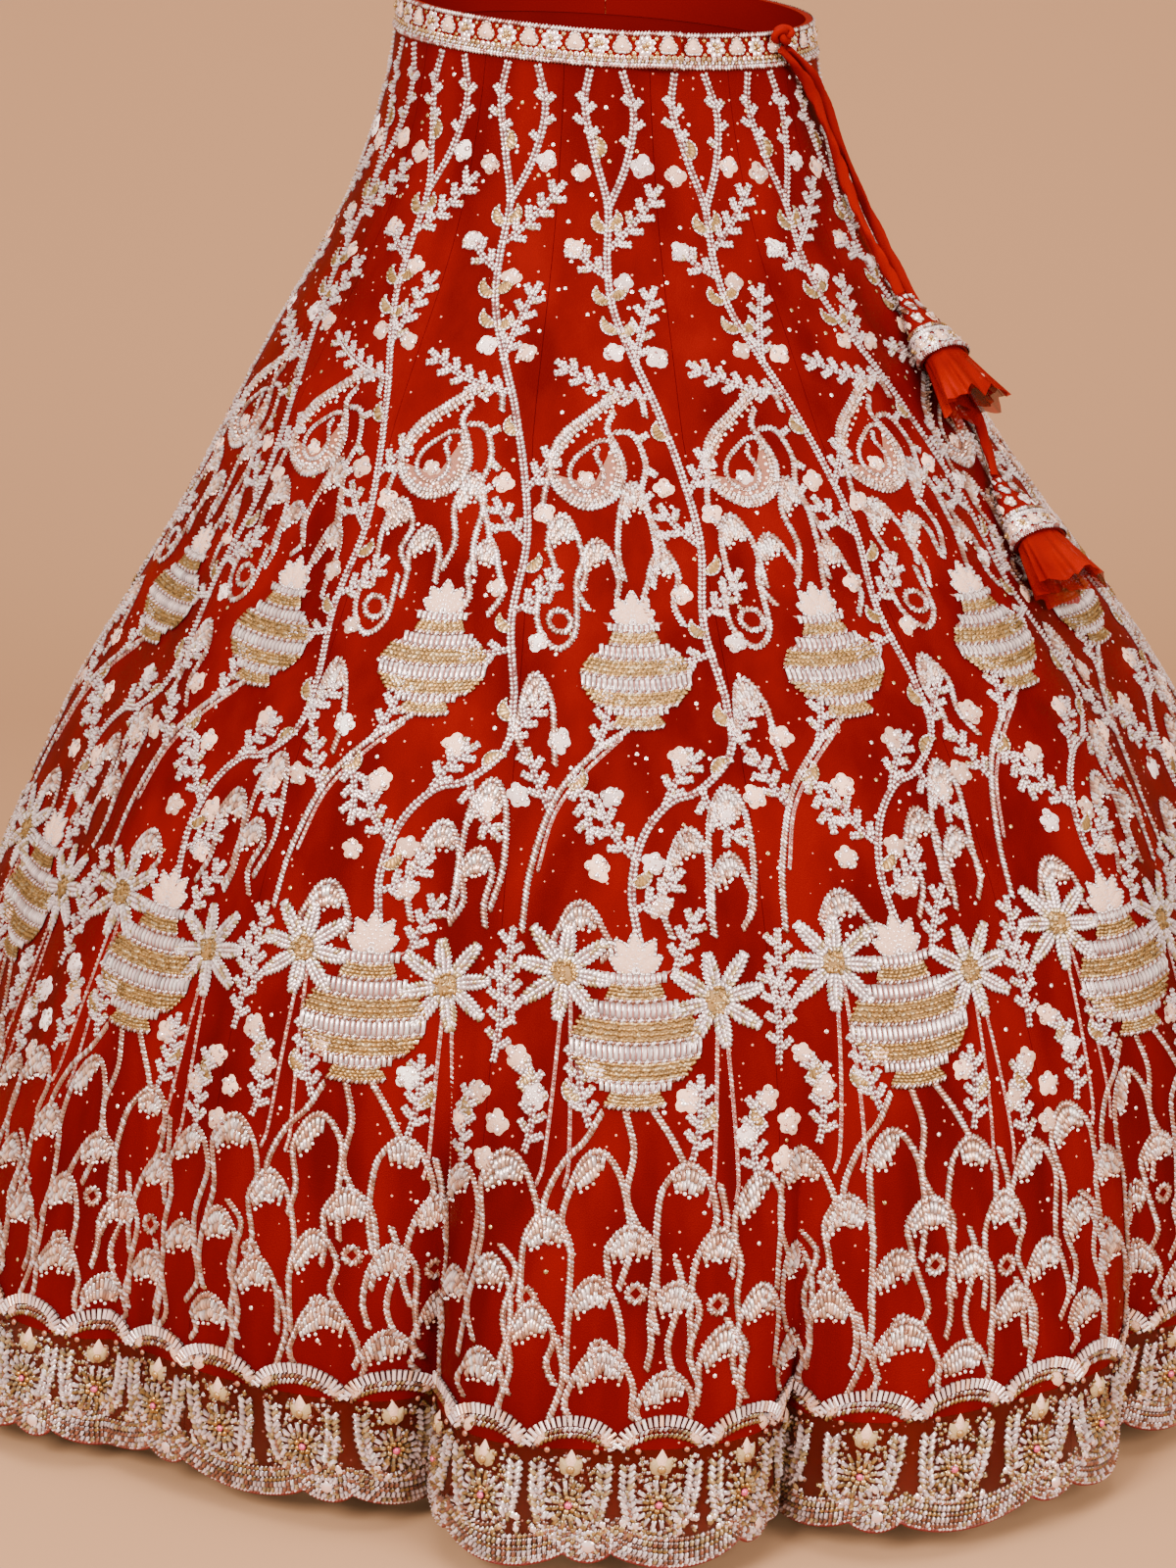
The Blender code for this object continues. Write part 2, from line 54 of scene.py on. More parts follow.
# Colours in linear light
SILVER = (0.80, 0.57, 0.54)
PEARL = (0.93, 0.66, 0.59)
BLUSH = (0.34, 0.10, 0.075)
COPPER = (0.27, 0.088, 0.046)
GOLD = (0.30, 0.145, 0.036)
PALE_GOLD = (0.44, 0.27, 0.115)
PEACH = (0.82, 0.45, 0.30)
ROSE_GOLD = (0.46, 0.20, 0.125)
THREAD = (0.115, 0.016, 0.012)
ROSE = (0.60, 0.06, 0.14)
EDGE_RED = (0.16, 0.006, 0.003)
RED = (0.15, 0.001, 0.0006)

# Sizes of the needlework, in metres
EDGE_LIFT = 0.0001
PROBE = 0.0006
LEGS_END = 0.950
BORDER_TOP = 0.953

# Share of a pad's outline at which its dome levels off, and its height there
SHOULDER = 0.62
SHOULDER_HEIGHT = 0.8


def even(path: np.ndarray, pitch: float, closed: bool = False) -> tuple[np.ndarray, np.ndarray]:
    """Even points along a flat path.

    Args:
        path: Corner points of the path.
        pitch: Wanted distance between points.
        closed: Whether the path runs back to its start.

    Returns:
        The points and the unit directions of the path there.
    """
    path = np.asarray(path, complex)
    if closed:
        path = np.append(path, path[0])
    length = np.concatenate([[0.0], np.cumsum(np.abs(np.diff(path)))])
    count = max(2, int(round(length[-1] / pitch)) + 1)
    stops = np.linspace(0.0, length[-1], count)
    if closed:
        stops = stops[:-1]
    points = np.interp(stops, length, path.real) + 1j * np.interp(stops, length, path.imag)
    step = pitch * 0.5
    ahead = np.clip(stops + step, 0.0, length[-1])
    back = np.clip(stops - step, 0.0, length[-1])
    run = np.interp(ahead, length, path.real) - np.interp(back, length, path.real)
    rise = np.interp(ahead, length, path.imag) - np.interp(back, length, path.imag)
    way = run + 1j * rise
    return points, way / np.maximum(np.abs(way), 1e-9)


def smooth(points: np.ndarray, closed: bool = False, steps: int = 8) -> np.ndarray:
    """A smooth curve through flat points.

    Args:
        points: Points that the curve passes.
        closed: Whether it runs back to its start.
        steps: Points for each stretch.

    Returns:
        The curve's points.
    """
    p = np.asarray(points, complex)
    if closed:
        before, start, end, after = np.roll(p, 1), p, np.roll(p, -1), np.roll(p, -2)
    else:
        before = np.concatenate([[2 * p[0] - p[1]], p[:-2]])
        start, end = p[:-1], p[1:]
        after = np.concatenate([p[2:], [2 * p[-1] - p[-2]]])
    t = np.linspace(0.0, 1.0, steps, endpoint=False)[None, :]
    b, s, e, a = (v[:, None] for v in (before, start, end, after))
    curve = s + 0.5 * (
        (e - b) * t + (2 * b - 5 * s + 4 * e - a) * t**2 + (3 * s - b - 3 * e + a) * t**3
    )
    curve = curve.ravel()
    return curve if closed else np.append(curve, p[-1])


def heading(degrees: float) -> complex:
    """Unit direction at an angle to the right of straight up."""
    return complex(math.sin(math.radians(degrees)), math.cos(math.radians(degrees)))


def blade(spine: np.ndarray, way: complex, half: np.ndarray) -> np.ndarray:
    """Outline of a leaf: along one side of its spine and back along the other."""
    return np.concatenate([spine - 1j * way * half, (spine + 1j * way * half)[::-1]])


@dataclass(frozen=True)
class ClothForm:
    """The worn form of the cloth: a bell that opens into flutes towards the hem."""

    drop: float = 0.93
    front_dip: float = 0.010
    side_dip: float = 0.010
    side_sway: float = 0.016
    sway_start: float = 0.28
    lobe_power: float = 4.0
    lobe_roundness: float = 0.75
    flute_growth: float = 1.4
    lining_fold: float = 0.35
    roll_height: float = 0.004
    roll_start: float = 0.2
    rolls: tuple = ((9, 0.6), (14, 2.1))
    step: float = 1e-4
    profile: tuple = (
        (0.00, 0.146, 0.78),
        (0.06, 0.156, 0.80),
        (0.15, 0.185, 0.85),
        (0.25, 0.240, 0.91),
        (0.38, 0.314, 0.97),
        (0.52, 0.401, 0.98),
        (0.66, 0.466, 0.97),
        (0.80, 0.513, 0.97),
        (0.90, 0.533, 0.98),
        (1.00, 0.545, 0.98),
    )
    creases: tuple = (
        (-42.0, 0.030, 0.66, -0.030),
        (-14.2, 0.075, 0.58, 0.016),
        (13.0, 0.055, 0.62, 0.012),
        (42.5, 0.042, 0.66, -0.012),
        (68.0, 0.055, 0.60, 0.006),
        (95.0, 0.040, 0.68, 0.014),
        (121.0, 0.062, 0.59, -0.008),
        (149.0, 0.045, 0.66, 0.010),
        (178.0, 0.060, 0.61, 0.004),
        (206.0, 0.040, 0.67, -0.010),
        (233.0, 0.058, 0.60, 0.012),
        (262.0, 0.044, 0.65, 0.000),
        (290.0, 0.060, 0.62, 0.010),
    )

    def column(self, share: np.ndarray, column: int) -> np.ndarray:
        """Reads one column of the profile along a smooth curve."""
        rows = np.array(self.profile)
        x, y = rows[:, 0], rows[:, column]
        slopes = np.gradient(y, x)
        share = np.clip(share, x[0], x[-1])
        i = np.clip(np.searchsorted(x, share, side="right") - 1, 0, len(x) - 2)
        step = x[i + 1] - x[i]
        f = (share - x[i]) / step
        start = (2 * f**3 - 3 * f**2 + 1) * y[i] + (f**3 - 2 * f**2 + f) * step * slopes[i]
        end = (3 * f**2 - 2 * f**3) * y[i + 1] + (f**3 - f**2) * step * slopes[i + 1]
        return start + end

    def growth(self, share: np.ndarray, start: np.ndarray) -> np.ndarray:
        """How far a flute has opened at a share of the drop."""
        return np.maximum((share - start) / (1.0 - start), 0.0) ** self.flute_growth

    def flutes(self, degrees: np.ndarray, share: np.ndarray, lining: bool) -> np.ndarray:
        """How far the cloth stands out from the plain bell.

        Args:
            degrees: Angles round the skirt.
            share: Shares of the drop.
            lining: Whether the cloth is the lining, which hangs in softer folds inside the net.

        Returns:
            Distances out from the bell.
        """
        table = np.array(self.creases)
        first = table[0, 0]
        turn = (degrees - first) % 360.0
        starts = np.append(table[:, 0] - first, 360.0)
        i = np.clip(np.searchsorted(starts, turn, side="right") - 1, 0, len(table) - 1)
        after = (i + 1) % len(table)
        s = 2.0 * (turn - starts[i]) / (starts[i + 1] - starts[i]) - 1.0
        left = table[i, 1] * self.growth(share, table[i, 2])
        right = table[after, 1] * self.growth(share, table[after, 2])
        depth = left + (right - left) * (s + 1.0) / 2.0
        if lining:
            return depth * (self.lining_fold * np.cos(np.pi * s / 2.0) ** 2 - 1.0)
        lobe = (1.0 - np.abs(s) ** self.lobe_power) ** self.lobe_roundness
        crest = table[i, 3] * self.growth(share, np.minimum(table[i, 2], table[after, 2]))
        return crest * lobe - depth * (1.0 - lobe)

    @staticmethod
    def hump(share: np.ndarray, start: float) -> np.ndarray:
        """A smooth rise and fall from a share of the drop to the hem."""
        return np.sin(np.pi * np.clip((share - start) / (1.0 - start), 0.0, 1.0))

    def points(self, degrees: np.ndarray, share: np.ndarray, lining: bool = False) -> np.ndarray:
        """Points of the net or the lining.

        Args:
            degrees: Angles round the skirt.
            share: Shares of the drop.
            lining: Whether the cloth is the lining.

        Returns:
            Points, with one more axis than the angles.
        """
        degrees, share = np.broadcast_arrays(np.asarray(degrees, float), np.asarray(share, float))
        angle = np.radians(degrees)
        width = self.column(share, 1)
        depth = width * self.column(share, 2)
        rolls = sum(np.sin(angle * waves + start) for waves, start in self.rolls)
        out = self.flutes(degrees, share, lining)
        out = out + self.roll_height * self.hump(share, self.roll_start) * rolls
        normal = np.hypot(depth * np.sin(angle), width * np.cos(angle))
        sway = self.side_sway * self.hump(share, self.sway_start)
        x = width * np.sin(angle) + out * depth * np.sin(angle) / normal + sway
        y = -depth * np.cos(angle) - out * width * np.cos(angle) / normal
        dip = self.front_dip * np.cos(angle) + self.side_dip * np.sin(angle)
        z = -self.drop * share - dip * np.clip(1.0 - share, 0.0, 1.0) ** 2
        return np.stack([x, y, z], axis=-1)

    def normals(self, degrees: np.ndarray, share: np.ndarray, lining: bool = False) -> np.ndarray:
        """Unit normals of the net or the lining, which point out."""
        turn = math.degrees(self.step)
        along = self.points(degrees + turn, share, lining) - self.points(degrees - turn, share, lining)
        below = self.points(degrees, share + self.step, lining)
        down = below - self.points(degrees, share - self.step, lining)
        normal = np.cross(down, along)
        return normal / np.linalg.norm(normal, axis=-1, keepdims=True)

    def lifted(self, degrees: np.ndarray, share: np.ndarray, lift: np.ndarray) -> np.ndarray:
        """Points at a height over the net."""
        degrees, share = np.asarray(degrees, float), np.asarray(share, float)
        lift = np.asarray(lift, float)[..., None]
        return self.points(degrees, share) + self.normals(degrees, share) * lift


@dataclass
class FabricChart:
    """The cloth between its seams laid flat: places on it come from a grid of the worn cloth."""

    form: ClothForm
    panels: int = 16
    lining: bool = False
    rows: int = 320
    columns: int = 48
    last_share: float = 1.018
    samples: int = 121
    points: np.ndarray = field(init=False)
    normals: np.ndarray = field(init=False)
    half_widths: np.ndarray = field(init=False)
    down: np.ndarray = field(init=False)

    def __post_init__(self) -> None:
        """Samples the worn cloth, evenly by its own length across each panel."""
        step = 360.0 / self.panels
        share = np.linspace(0.0, self.last_share, self.rows)
        starts = (np.arange(self.panels) * step - 11.25)[None, :, None]
        fine = starts + np.linspace(0.0, step, self.samples)[None, None, :]
        cloth = self.form.points(fine, share[:, None, None], self.lining)
        run = np.linalg.norm(np.diff(cloth, axis=2), axis=-1)
        length = np.concatenate([np.zeros(run.shape[:2] + (1,)), np.cumsum(run, axis=2)], axis=2)
        degrees = np.empty((self.rows, self.panels, self.columns))
        across = np.linspace(0.0, 1.0, self.columns, endpoint=False)
        for row in range(self.rows):
            for panel in range(self.panels):
                wanted = across * length[row, panel, -1]
                degrees[row, panel] = np.interp(wanted, length[row, panel], fine[0, panel])
        flat = degrees.reshape(self.rows, -1)
        self.points = self.form.points(flat, share[:, None], self.lining)
        self.normals = self.form.normals(flat, share[:, None], self.lining)
        self.half_widths = length[:, :, -1] / 2.0
        front = self.form.points(np.zeros(self.rows), share)
        slope = np.linalg.norm(np.diff(front, axis=0), axis=1)
        self.down = np.concatenate([[0.0], np.cumsum(slope)])

    def row_of(self, down: np.ndarray) -> np.ndarray:
        """Row of the grid, with its fraction, at a distance down the cloth."""
        return np.interp(down, self.down, np.arange(self.rows))

    def half_width(self, panel: int, down: np.ndarray) -> np.ndarray:
        """Half the width of a panel at a distance down the cloth."""
        return np.interp(down, self.down, self.half_widths[:, panel])

    def down_at(self, share: float) -> float:
        """Distance down the cloth at a share of the drop."""
        return float(np.interp(share * (self.rows - 1) / self.last_share, np.arange(self.rows), self.down))

    def read(self, row: np.ndarray, column: np.ndarray) -> tuple[np.ndarray, np.ndarray]:
        """Points and normals at fractional rows and columns of the grid, which runs all round."""
        count = self.points.shape[1]
        i = np.clip(np.floor(row).astype(int), 0, self.rows - 2)
        j = np.floor(column).astype(int)
        f = (row - i)[..., None]
        g = (column - j)[..., None]
        one, two = j % count, (j + 1) % count
        found = []
        for grid in (self.points, self.normals):
            upper = grid[i, one] * (1 - g) + grid[i, two] * g
            lower = grid[i + 1, one] * (1 - g) + grid[i + 1, two] * g
            found.append(upper * (1 - f) + lower * f)
        normal = found[1] / np.linalg.norm(found[1], axis=-1, keepdims=True)
        return found[0], normal

    def place(self, panel: int, flat: np.ndarray) -> tuple[np.ndarray, np.ndarray]:
        """Points and normals of the worn cloth for a flat drawing on one panel.

        Args:
            panel: Number of the panel, from 0.
            flat: Flat places, right and up from the waist on the panel's centre line.

        Returns:
            Points and unit normals.
        """
        down = -flat.imag
        share = flat.real / self.half_width(panel, down)
        column = (panel + 0.5 + share / 2.0) * self.columns
        return self.read(self.row_of(down), column)


class Bead(IntEnum):
    """Kinds of bead: each has a shape and a finish of its own."""

    RICE = 0
    DABKA = 1
    PEARL = 2
    SEQUIN = 3
    BUGLE = 4
    STONE = 5


@dataclass
class Needlework:
    """Embroidery drawn flat: beads, couched strips of thread and filled pads."""

    seed: int = 1
    beads: list = field(default_factory=list)
    strips: list = field(default_factory=list)
    pads: list = field(default_factory=list)
    random: np.random.Generator = field(init=False)

    def __post_init__(self) -> None:
        """Starts the seeded random numbers."""
        self.random = np.random.default_rng(self.seed)

    def sew(
        self,
        at: np.ndarray,
        way: np.ndarray,
        size: tuple,
        kind: Bead,
        tint: np.ndarray,
        lift: float = 0.0004,
    ) -> None:
        """Sews beads on.

        Args:
            at: Flat places of the beads.
            way: Unit direction of each bead's length, or one for all.
            size: Length, width and height of a bead, or a row for each.
            kind: Kind of bead.
            tint: Colour, or a row for each bead.
            lift: Height of the beads' underside over the cloth.
        """
        at = np.atleast_1d(np.asarray(at, complex))
        rows = np.zeros((len(at), 12))
        rows[:, 0], rows[:, 1] = at.real, at.imag
        rows[:, 2], rows[:, 3] = np.real(way), np.imag(way)
        rows[:, 4:7] = size
        rows[:, 7] = lift
        rows[:, 8] = kind
        rows[:, 9:12] = tint
        self.beads.append(rows)

    def strip(self, path: np.ndarray, width: float, tint: tuple, height: float = 0.0009,
            pitch: float = 0.008) -> None:
        """Couches a strip of thread along a path."""
        points, way = even(path, pitch)
        self.strips.append((points, way, np.full(len(points), width), height, tint))

    def pad(self, outline: np.ndarray, height: float, tint: tuple) -> None:
        """Fills an outline with a low dome of stitches."""
        self.pads.append((np.asarray(outline, complex), height, tint))

    def mixed(self, count: int, tints: tuple, weights: tuple) -> np.ndarray:
        """Colours drawn at random from a few tints, each brightened or darkened at random: partly the
        beads' own uneven tone, partly painted glints.
        """
        pick = self.random.choice(len(tints), size=count, p=np.array(weights) / sum(weights))
        # Random brightness for each bead: partly uneven tone, partly painted glints on the brighter beads.
        shade = 0.62 + 0.66 * self.random.random((count, 1))
        return np.clip(np.array(tints)[pick] * shade, 0.0, 1.0)

    def stem(self, path: np.ndarray, width: float = 0.0054) -> None:
        """A stem of two rows of pearly beads, set as a herringbone on thread."""
        points, way = even(path, 0.0033)
        for side in (1.0, -1.0):
            at = points + 1j * side * way * width * 0.25
            turned = way * np.exp(-0.55j * side)
            tints = self.mixed(len(at), (SILVER, PEARL, BLUSH), (6, 6, 1))
            self.sew(at, turned, (0.0031, 0.0021, 0.0020), Bead.RICE, tints, 0.0004)
        self.strip(path, width, THREAD)

    def rope(self, path: np.ndarray, width: float = 0.0050, copper: float = 0.5) -> None:
        """An outline of slanting rice beads, silver and copper by turns, on a dark ground."""
        points, way = even(path, 0.0028)
        tints = self.mixed(len(points), (SILVER, PEARL, ROSE_GOLD), (3, 2, 4.0 * copper))
        dark = (np.arange(len(points)) % 2 == 0) & (self.random.random(len(points)) < 1.8 * copper)
        tints[dark] = np.array(ROSE_GOLD) * (0.55 + 0.8 * self.random.random((dark.sum(), 1)))
        self.sew(points, way * np.exp(0.85j), (width, 0.0022, 0.0019), Bead.RICE, tints, 0.0005)
        self.strip(path, width * 0.80, COPPER if copper > 0.4 else THREAD)

    def thin(self, path: np.ndarray, width: float = 0.0026) -> None:
        """A fine twisted cord with small beads."""
        points, way = even(path, 0.0034)
        tints = self.mixed(len(points), (BLUSH, PEACH, SILVER), (3, 2, 2))
        self.sew(points, way * np.exp(0.6j), (0.0032, 0.0017, 0.0014), Bead.RICE, tints, 0.0004)
        self.strip(path, width, BLUSH, 0.0007, 0.010)

    def leaf(self, base: complex, way: complex, length: float = 0.0096) -> None:
        """A blunt leaflet of two slanting rows of beads on a filled ground."""
        along = np.array([0.22, 0.52, 0.83]) * length
        for side in (1.0, -1.0):
            at = base + way * (along + 1j * side * 0.00115)
            tints = self.mixed(3, (SILVER, PEARL, PALE_GOLD), (6, 6, 1))
            self.sew(at, way * np.exp(0.5j * side), (0.0037, 0.0022, 0.0020), Bead.RICE, tints, 0.0006)
        spine = base + way * np.array([0.0, 0.55, 1.04]) * length
        half = np.array([0.0018, 0.0029, 0.0011])
        self.pad(blade(spine, way, half), 0.0006, BLUSH)

    def hatched_leaf(self, base: complex, way: complex, length: float = 0.012) -> None:
        """A pointed leaflet hatched with copper and silver beads."""
        along = np.linspace(0.12, 0.9, 5)
        tints = self.mixed(5, (SILVER, COPPER), (2, 1))
        sizes = np.stack([0.006 * np.sin(np.pi * along) + 0.0018, np.full(5, 0.0021), np.full(5, 0.0016)],
            axis=1)
        self.sew(base + way * along * length, way * np.exp(1.1j), sizes, Bead.RICE, tints, 0.0006)
        half = 0.0034 * np.sin(np.pi * np.linspace(0.0, 1.0, 5))
        spine = base + way * np.linspace(0.0, 1.0, 5) * length
        outline = np.concatenate([spine - 1j * way * half, (spine + 1j * way * half)[-2:0:-1]])
        self.pad(outline, 0.0007, BLUSH)

    def sprig(self, base: complex, degrees: float, length: float, bend: float = 0.0) -> None:
        """A leafy spray with pairs of leaflets, set well apart.

        Args:
            base: Where it starts.
            degrees: Direction at its base, to the right of straight up.
            length: Length of its stem.
            bend: How far its direction turns to the right by the tip, in degrees.
        """
        t = np.linspace(0.0, 1.0, 9)
        ways = np.array([heading(degrees + bend * s) for s in t])
        path = base + np.concatenate([[0.0], np.cumsum((ways[1:] + ways[:-1]) / 2.0 * length / 8.0)])
        self.stem(path, 0.0046)
        pairs = max(1, round(length / 0.0125))
        for i in range(pairs):
            for side in (1.0, -1.0):
                s = (i + 0.80 + 0.18 * side) / (pairs + 0.1)
                at = np.interp(s, t, path.real) + 1j * np.interp(s, t, path.imag)
                way = heading(degrees + bend * s)
                self.leaf(at + 1j * side * way * 0.0014, way * np.exp(0.84j * side))
        self.leaf(path[-1], ways[-1])

    def flower(self, centre: complex, radius: float = 0.0078, lobes: int = 5, turn: float = 0.3) -> None:
        """A small flower of uneven lobes, filled with cut beads that glint here and there."""
        angle = np.linspace(0.0, 2.0 * np.pi, lobes * 4, endpoint=False)
        swell = np.repeat(0.86 + 0.26 * self.random.random(lobes), 4)
        reach = radius * swell * (0.78 + 0.26 * np.abs(np.sin(lobes * angle / 2.0)))
        outline = centre + reach * np.exp(1j * (angle + turn))
        tint = self.mixed(1, (PEACH, PEARL), (3, 1))[0]
        self.pad(outline, 0.0020, tuple(tint))
        reach = radius * 0.82 * np.sqrt(self.random.random(9))
        spots = centre + reach * np.exp(2j * np.pi * self.random.random(9))
        tints = self.mixed(9, (PEARL, PEACH, BLUSH), (3, 3, 1))
        self.sew(spots, np.exp(2j * np.pi * self.random.random(9)), (0.0026, 0.0021, 0.0011), Bead.RICE,
            tints, 0.0013)
        glints = centre + radius * 0.5 * np.exp(1j * (np.arange(2) * np.pi + turn))
        self.sew(glints, 1.0, (0.0036, 0.0036, 0.0010), Bead.SEQUIN, self.mixed(2, (PEARL, SILVER), (1, 1)),
            0.0019)

    def crescent(self, base: complex, way: complex, length: float = 0.014, curl: float = 1.0) -> None:
        """A moon-shaped gold leaf of coiled wire with a pearly edge."""
        t = np.linspace(0.0, 1.0, 8)
        turned = way * np.exp(1.75j * curl * (t - 0.25))
        spine = base + np.concatenate([[0.0], np.cumsum((turned[1:] + turned[:-1]) / 2.0 * length / 7.0)])
        half = 0.21 * length * np.sin(np.pi * t**0.8) + 0.0002
        outline = np.concatenate([spine - 1j * turned * half, (spine + 1j * turned * half)[-2:0:-1]])
        self.pad(outline, 0.0012, GOLD)
        inner = slice(1, -1)
        sizes = np.stack([half[inner] * 1.8, np.full(6, 0.0019), np.full(6, 0.0012)], axis=1)
        self.sew(spine[inner], turned[inner] * np.exp(1.2j), sizes, Bead.DABKA,
            self.mixed(6, (GOLD, PALE_GOLD), (2, 1)), 0.0008)
        for side in (1.0, -1.0):
            points, ways = even(spine + 1j * turned * half * side, 0.0031)
            self.sew(points, ways, (0.0030, 0.0014, 0.0015), Bead.RICE,
                self.mixed(len(points), (PEARL, PALE_GOLD), (2, 1)), 0.0006)

    def fringe(self, arc: np.ndarray, fall: float, copper: float = 0.4, spread: float = 0.3,
            side: float = 1.0) -> None:
        """Bead fringes under an arc that end in round beads.

        Args:
            arc: Path that they hang from.
            fall: Length of the longest.
            copper: Share of copper among the beads.
            spread: How far they turn from straight down to square to the arc, from 0 to 1.
            side: 1 to hang on the right of the arc's direction, -1 on its left.
        """
        points, way = even(arc, 0.0034)
        share = np.linspace(0.0, 1.0, len(points))
        uneven = 0.85 + 0.3 * self.random.random(len(points))
        lengths = fall * (0.6 + 0.4 * np.sin(np.pi * share)) * uneven
        down = (spread - 1.0) * 1j - spread * 1j * way * side
        down = down / np.abs(down)
        outline = np.concatenate([points[::2], (points + down * lengths * 0.8)[::-2]])
        self.pad(outline, 0.0004, COPPER)
        for place in (0.24, 0.70):
            tints = self.mixed(len(points), (PEARL, PEACH, ROSE_GOLD), (4, 3, 3.0 * copper))
            sizes = np.stack([lengths * 0.50, np.full(len(points), 0.0026), np.full(len(points), 0.0022)],
                axis=1)
            self.sew(points + down * lengths * place, down, sizes, Bead.RICE, tints, 0.0006)
        ends = (points + down * (lengths + 0.0012))[::2]
        self.sew(ends, 1.0, (0.0026, 0.0026, 0.0020), Bead.PEARL,
            self.mixed(len(ends), (PEARL, PEACH), (2, 1)), 0.0004)

    def arch(self, left: complex, right: complex, rise: float, fall: float, copper: float, legs: tuple = (),
            fringed: tuple = (0.08, 0.92)) -> None:
        """An arched outline with bead fringes under it, and legs that wind down from its ends.

        Args:
            left: Left end of the arch.
            right: Right end of the arch.
            rise: Height of the arch over its ends.
            fall: Length of the fringes.
            copper: Share of copper among the beads.
            legs: Lengths of the left and the right leg, and how far each swings sideways.
            fringed: Shares of the arch between which the fringes hang.
        """
        t = np.linspace(0.0, 1.0, 13)
        crown = left + (right - left) * t + 1j * rise * np.sin(np.pi * t) ** 0.75
        path = crown
        if legs:
            one, two, swing_one, swing_two = legs
            before = [left - 1j * one + swing_one * 0.3, left - 0.55j * one - swing_one]
            after = [right - 0.55j * two + swing_two, right - 1j * two - swing_two * 0.3]
            path = smooth(np.concatenate([before, crown[::2], after]), steps=4)
        self.rope(path, copper=copper)
        hung = crown[int(12 * fringed[0]):int(12 * fringed[1]) + 1]
        self.fringe(hung - 0.0026j, fall, copper)

    def star_flower(self, centre: complex, radius: float = 0.034, turn: float = 0.0) -> None:
        """A large flower: eight petals of rice beads round a heart of coiled gold wire."""
        for petal in range(8):
            way = heading(petal * 45.0 + turn)
            reach = radius * (1.0 if petal % 2 else 0.9)
            along = np.linspace(0.30, 0.97, 8) * reach
            spread = 0.0026 * np.sin(np.pi * np.linspace(0.25, 0.85, 8))
            for side in (1.0, 0.0, -1.0):
                tints = self.mixed(8, (SILVER, PEARL, PALE_GOLD), (5, 4, 2))
                at = centre + way * (along + 1j * side * spread * 1.35)
                self.sew(at, way * np.exp(0.6j * side), (0.0052, 0.0027, 0.0020), Bead.RICE, tints, 0.0008)
            spine = centre + way * np.array([0.24, 0.45, 0.75, 0.98]) * reach
            half = np.array([0.0018, 0.0038, 0.0044, 0.0012])
            self.pad(blade(spine, way, half), 0.0009, BLUSH)
        angle = np.linspace(0.0, 2.0 * np.pi, 14, endpoint=False)
        self.pad(centre + radius * 0.27 * np.exp(1j * angle), 0.0024, GOLD)
        reach = radius * 0.25 * np.sqrt(self.random.random(30))
        spots = centre + reach * np.exp(2j * np.pi * self.random.random(30))
        ways = np.exp(1j * np.pi * self.random.random(30))
        self.sew(spots, ways, (0.0042, 0.0020, 0.0016), Bead.DABKA,
            self.mixed(30, (GOLD, PALE_GOLD), (2, 1)), 0.0020)

    def tier(self, foot: complex, lower: float, upper: float, height: float, gold: bool) -> None:
        """One band of a beaded urn: upright white bugles, or coiled gold wire, between bead rows.

        Args:
            foot: Middle of its lower edge.
            lower: Half width of the lower edge.
            upper: Half width of the upper edge.
            height: Height of the band.
            gold: Whether it is filled with gold wire.
        """
        sag = 0.10
        t = np.linspace(-1.0, 1.0, 9)
        bottom = foot + t * lower + 1j * sag * lower * (t**2 - 1.0)
        top = foot + 1j * height + t * upper + 1j * sag * upper * (t**2 - 1.0)
        self.pad(np.concatenate([bottom, top[::-1]]), 0.0010, GOLD if gold else BLUSH)
        if gold:
            for row in np.arange(0.14, 0.95, 0.24):
                path = bottom + (top - bottom) * row
                at, way = even(path, 0.0033)
                turned = way * np.exp(1j * self.random.normal(0.0, 0.5, len(at)))
                tints = self.mixed(len(at), (GOLD, PALE_GOLD), (3, 1))
                self.sew(at, turned, (0.0046, 0.0021, 0.0019), Bead.DABKA, tints, 0.0012)
        else:
            at, _ = even(bottom + (top - bottom) * 0.5, 0.0036)
            tints = self.mixed(len(at), (PEARL, SILVER), (3, 1))
            self.sew(at, 1j, (height * 0.84, 0.0027, 0.0020), Bead.RICE, tints, 0.0010)
        at, way = even(bottom, 0.0028)
        tints = self.mixed(len(at), (SILVER, PEARL), (2, 1))
        tints[::2] = COPPER
        self.sew(at, way * np.exp(0.9j), (0.0042, 0.0020, 0.0018), Bead.RICE, tints, 0.0012)

    def urn(self, foot: complex, size: float = 1.0) -> None:
        """A round beaded urn of gold and white bands, crowned with leaves and a lotus bud."""
        halves = np.array([0.0170, 0.0120, 0.0280, 0.0375, 0.0385, 0.0310, 0.0165, 0.0125, 0.0215]) * size
        heights = np.array([0.0080, 0.0080, 0.0130, 0.0110, 0.0130, 0.0100, 0.0090, 0.0075]) * size
        at = foot
        for i, height in enumerate(heights):
            self.tier(at, halves[i], halves[i + 1], height, i % 2 == 0)
            at += 1j * height
        for turn, scale in ((-62.0, 0.9), (62.0, 0.9), (-32.0, 1.1), (32.0, 1.1), (0.0, 1.25)):
            way = heading(turn)
            spine = at + way * np.array([0.0, 0.25, 0.55, 0.85, 1.0]) * 0.020 * size * scale
            half = np.array([0.3, 0.9, 1.0, 0.45, 0.0]) * 0.0056 * size
            outline = np.concatenate([spine - 1j * way * half, (spine + 1j * way * half)[-2::-1]])
            self.pad(outline, 0.0018, PEACH)
            points, ways = even(outline, 0.0034, True)
            self.sew(points, ways, (0.0030, 0.0016, 0.0016), Bead.RICE, PEARL, 0.0006)

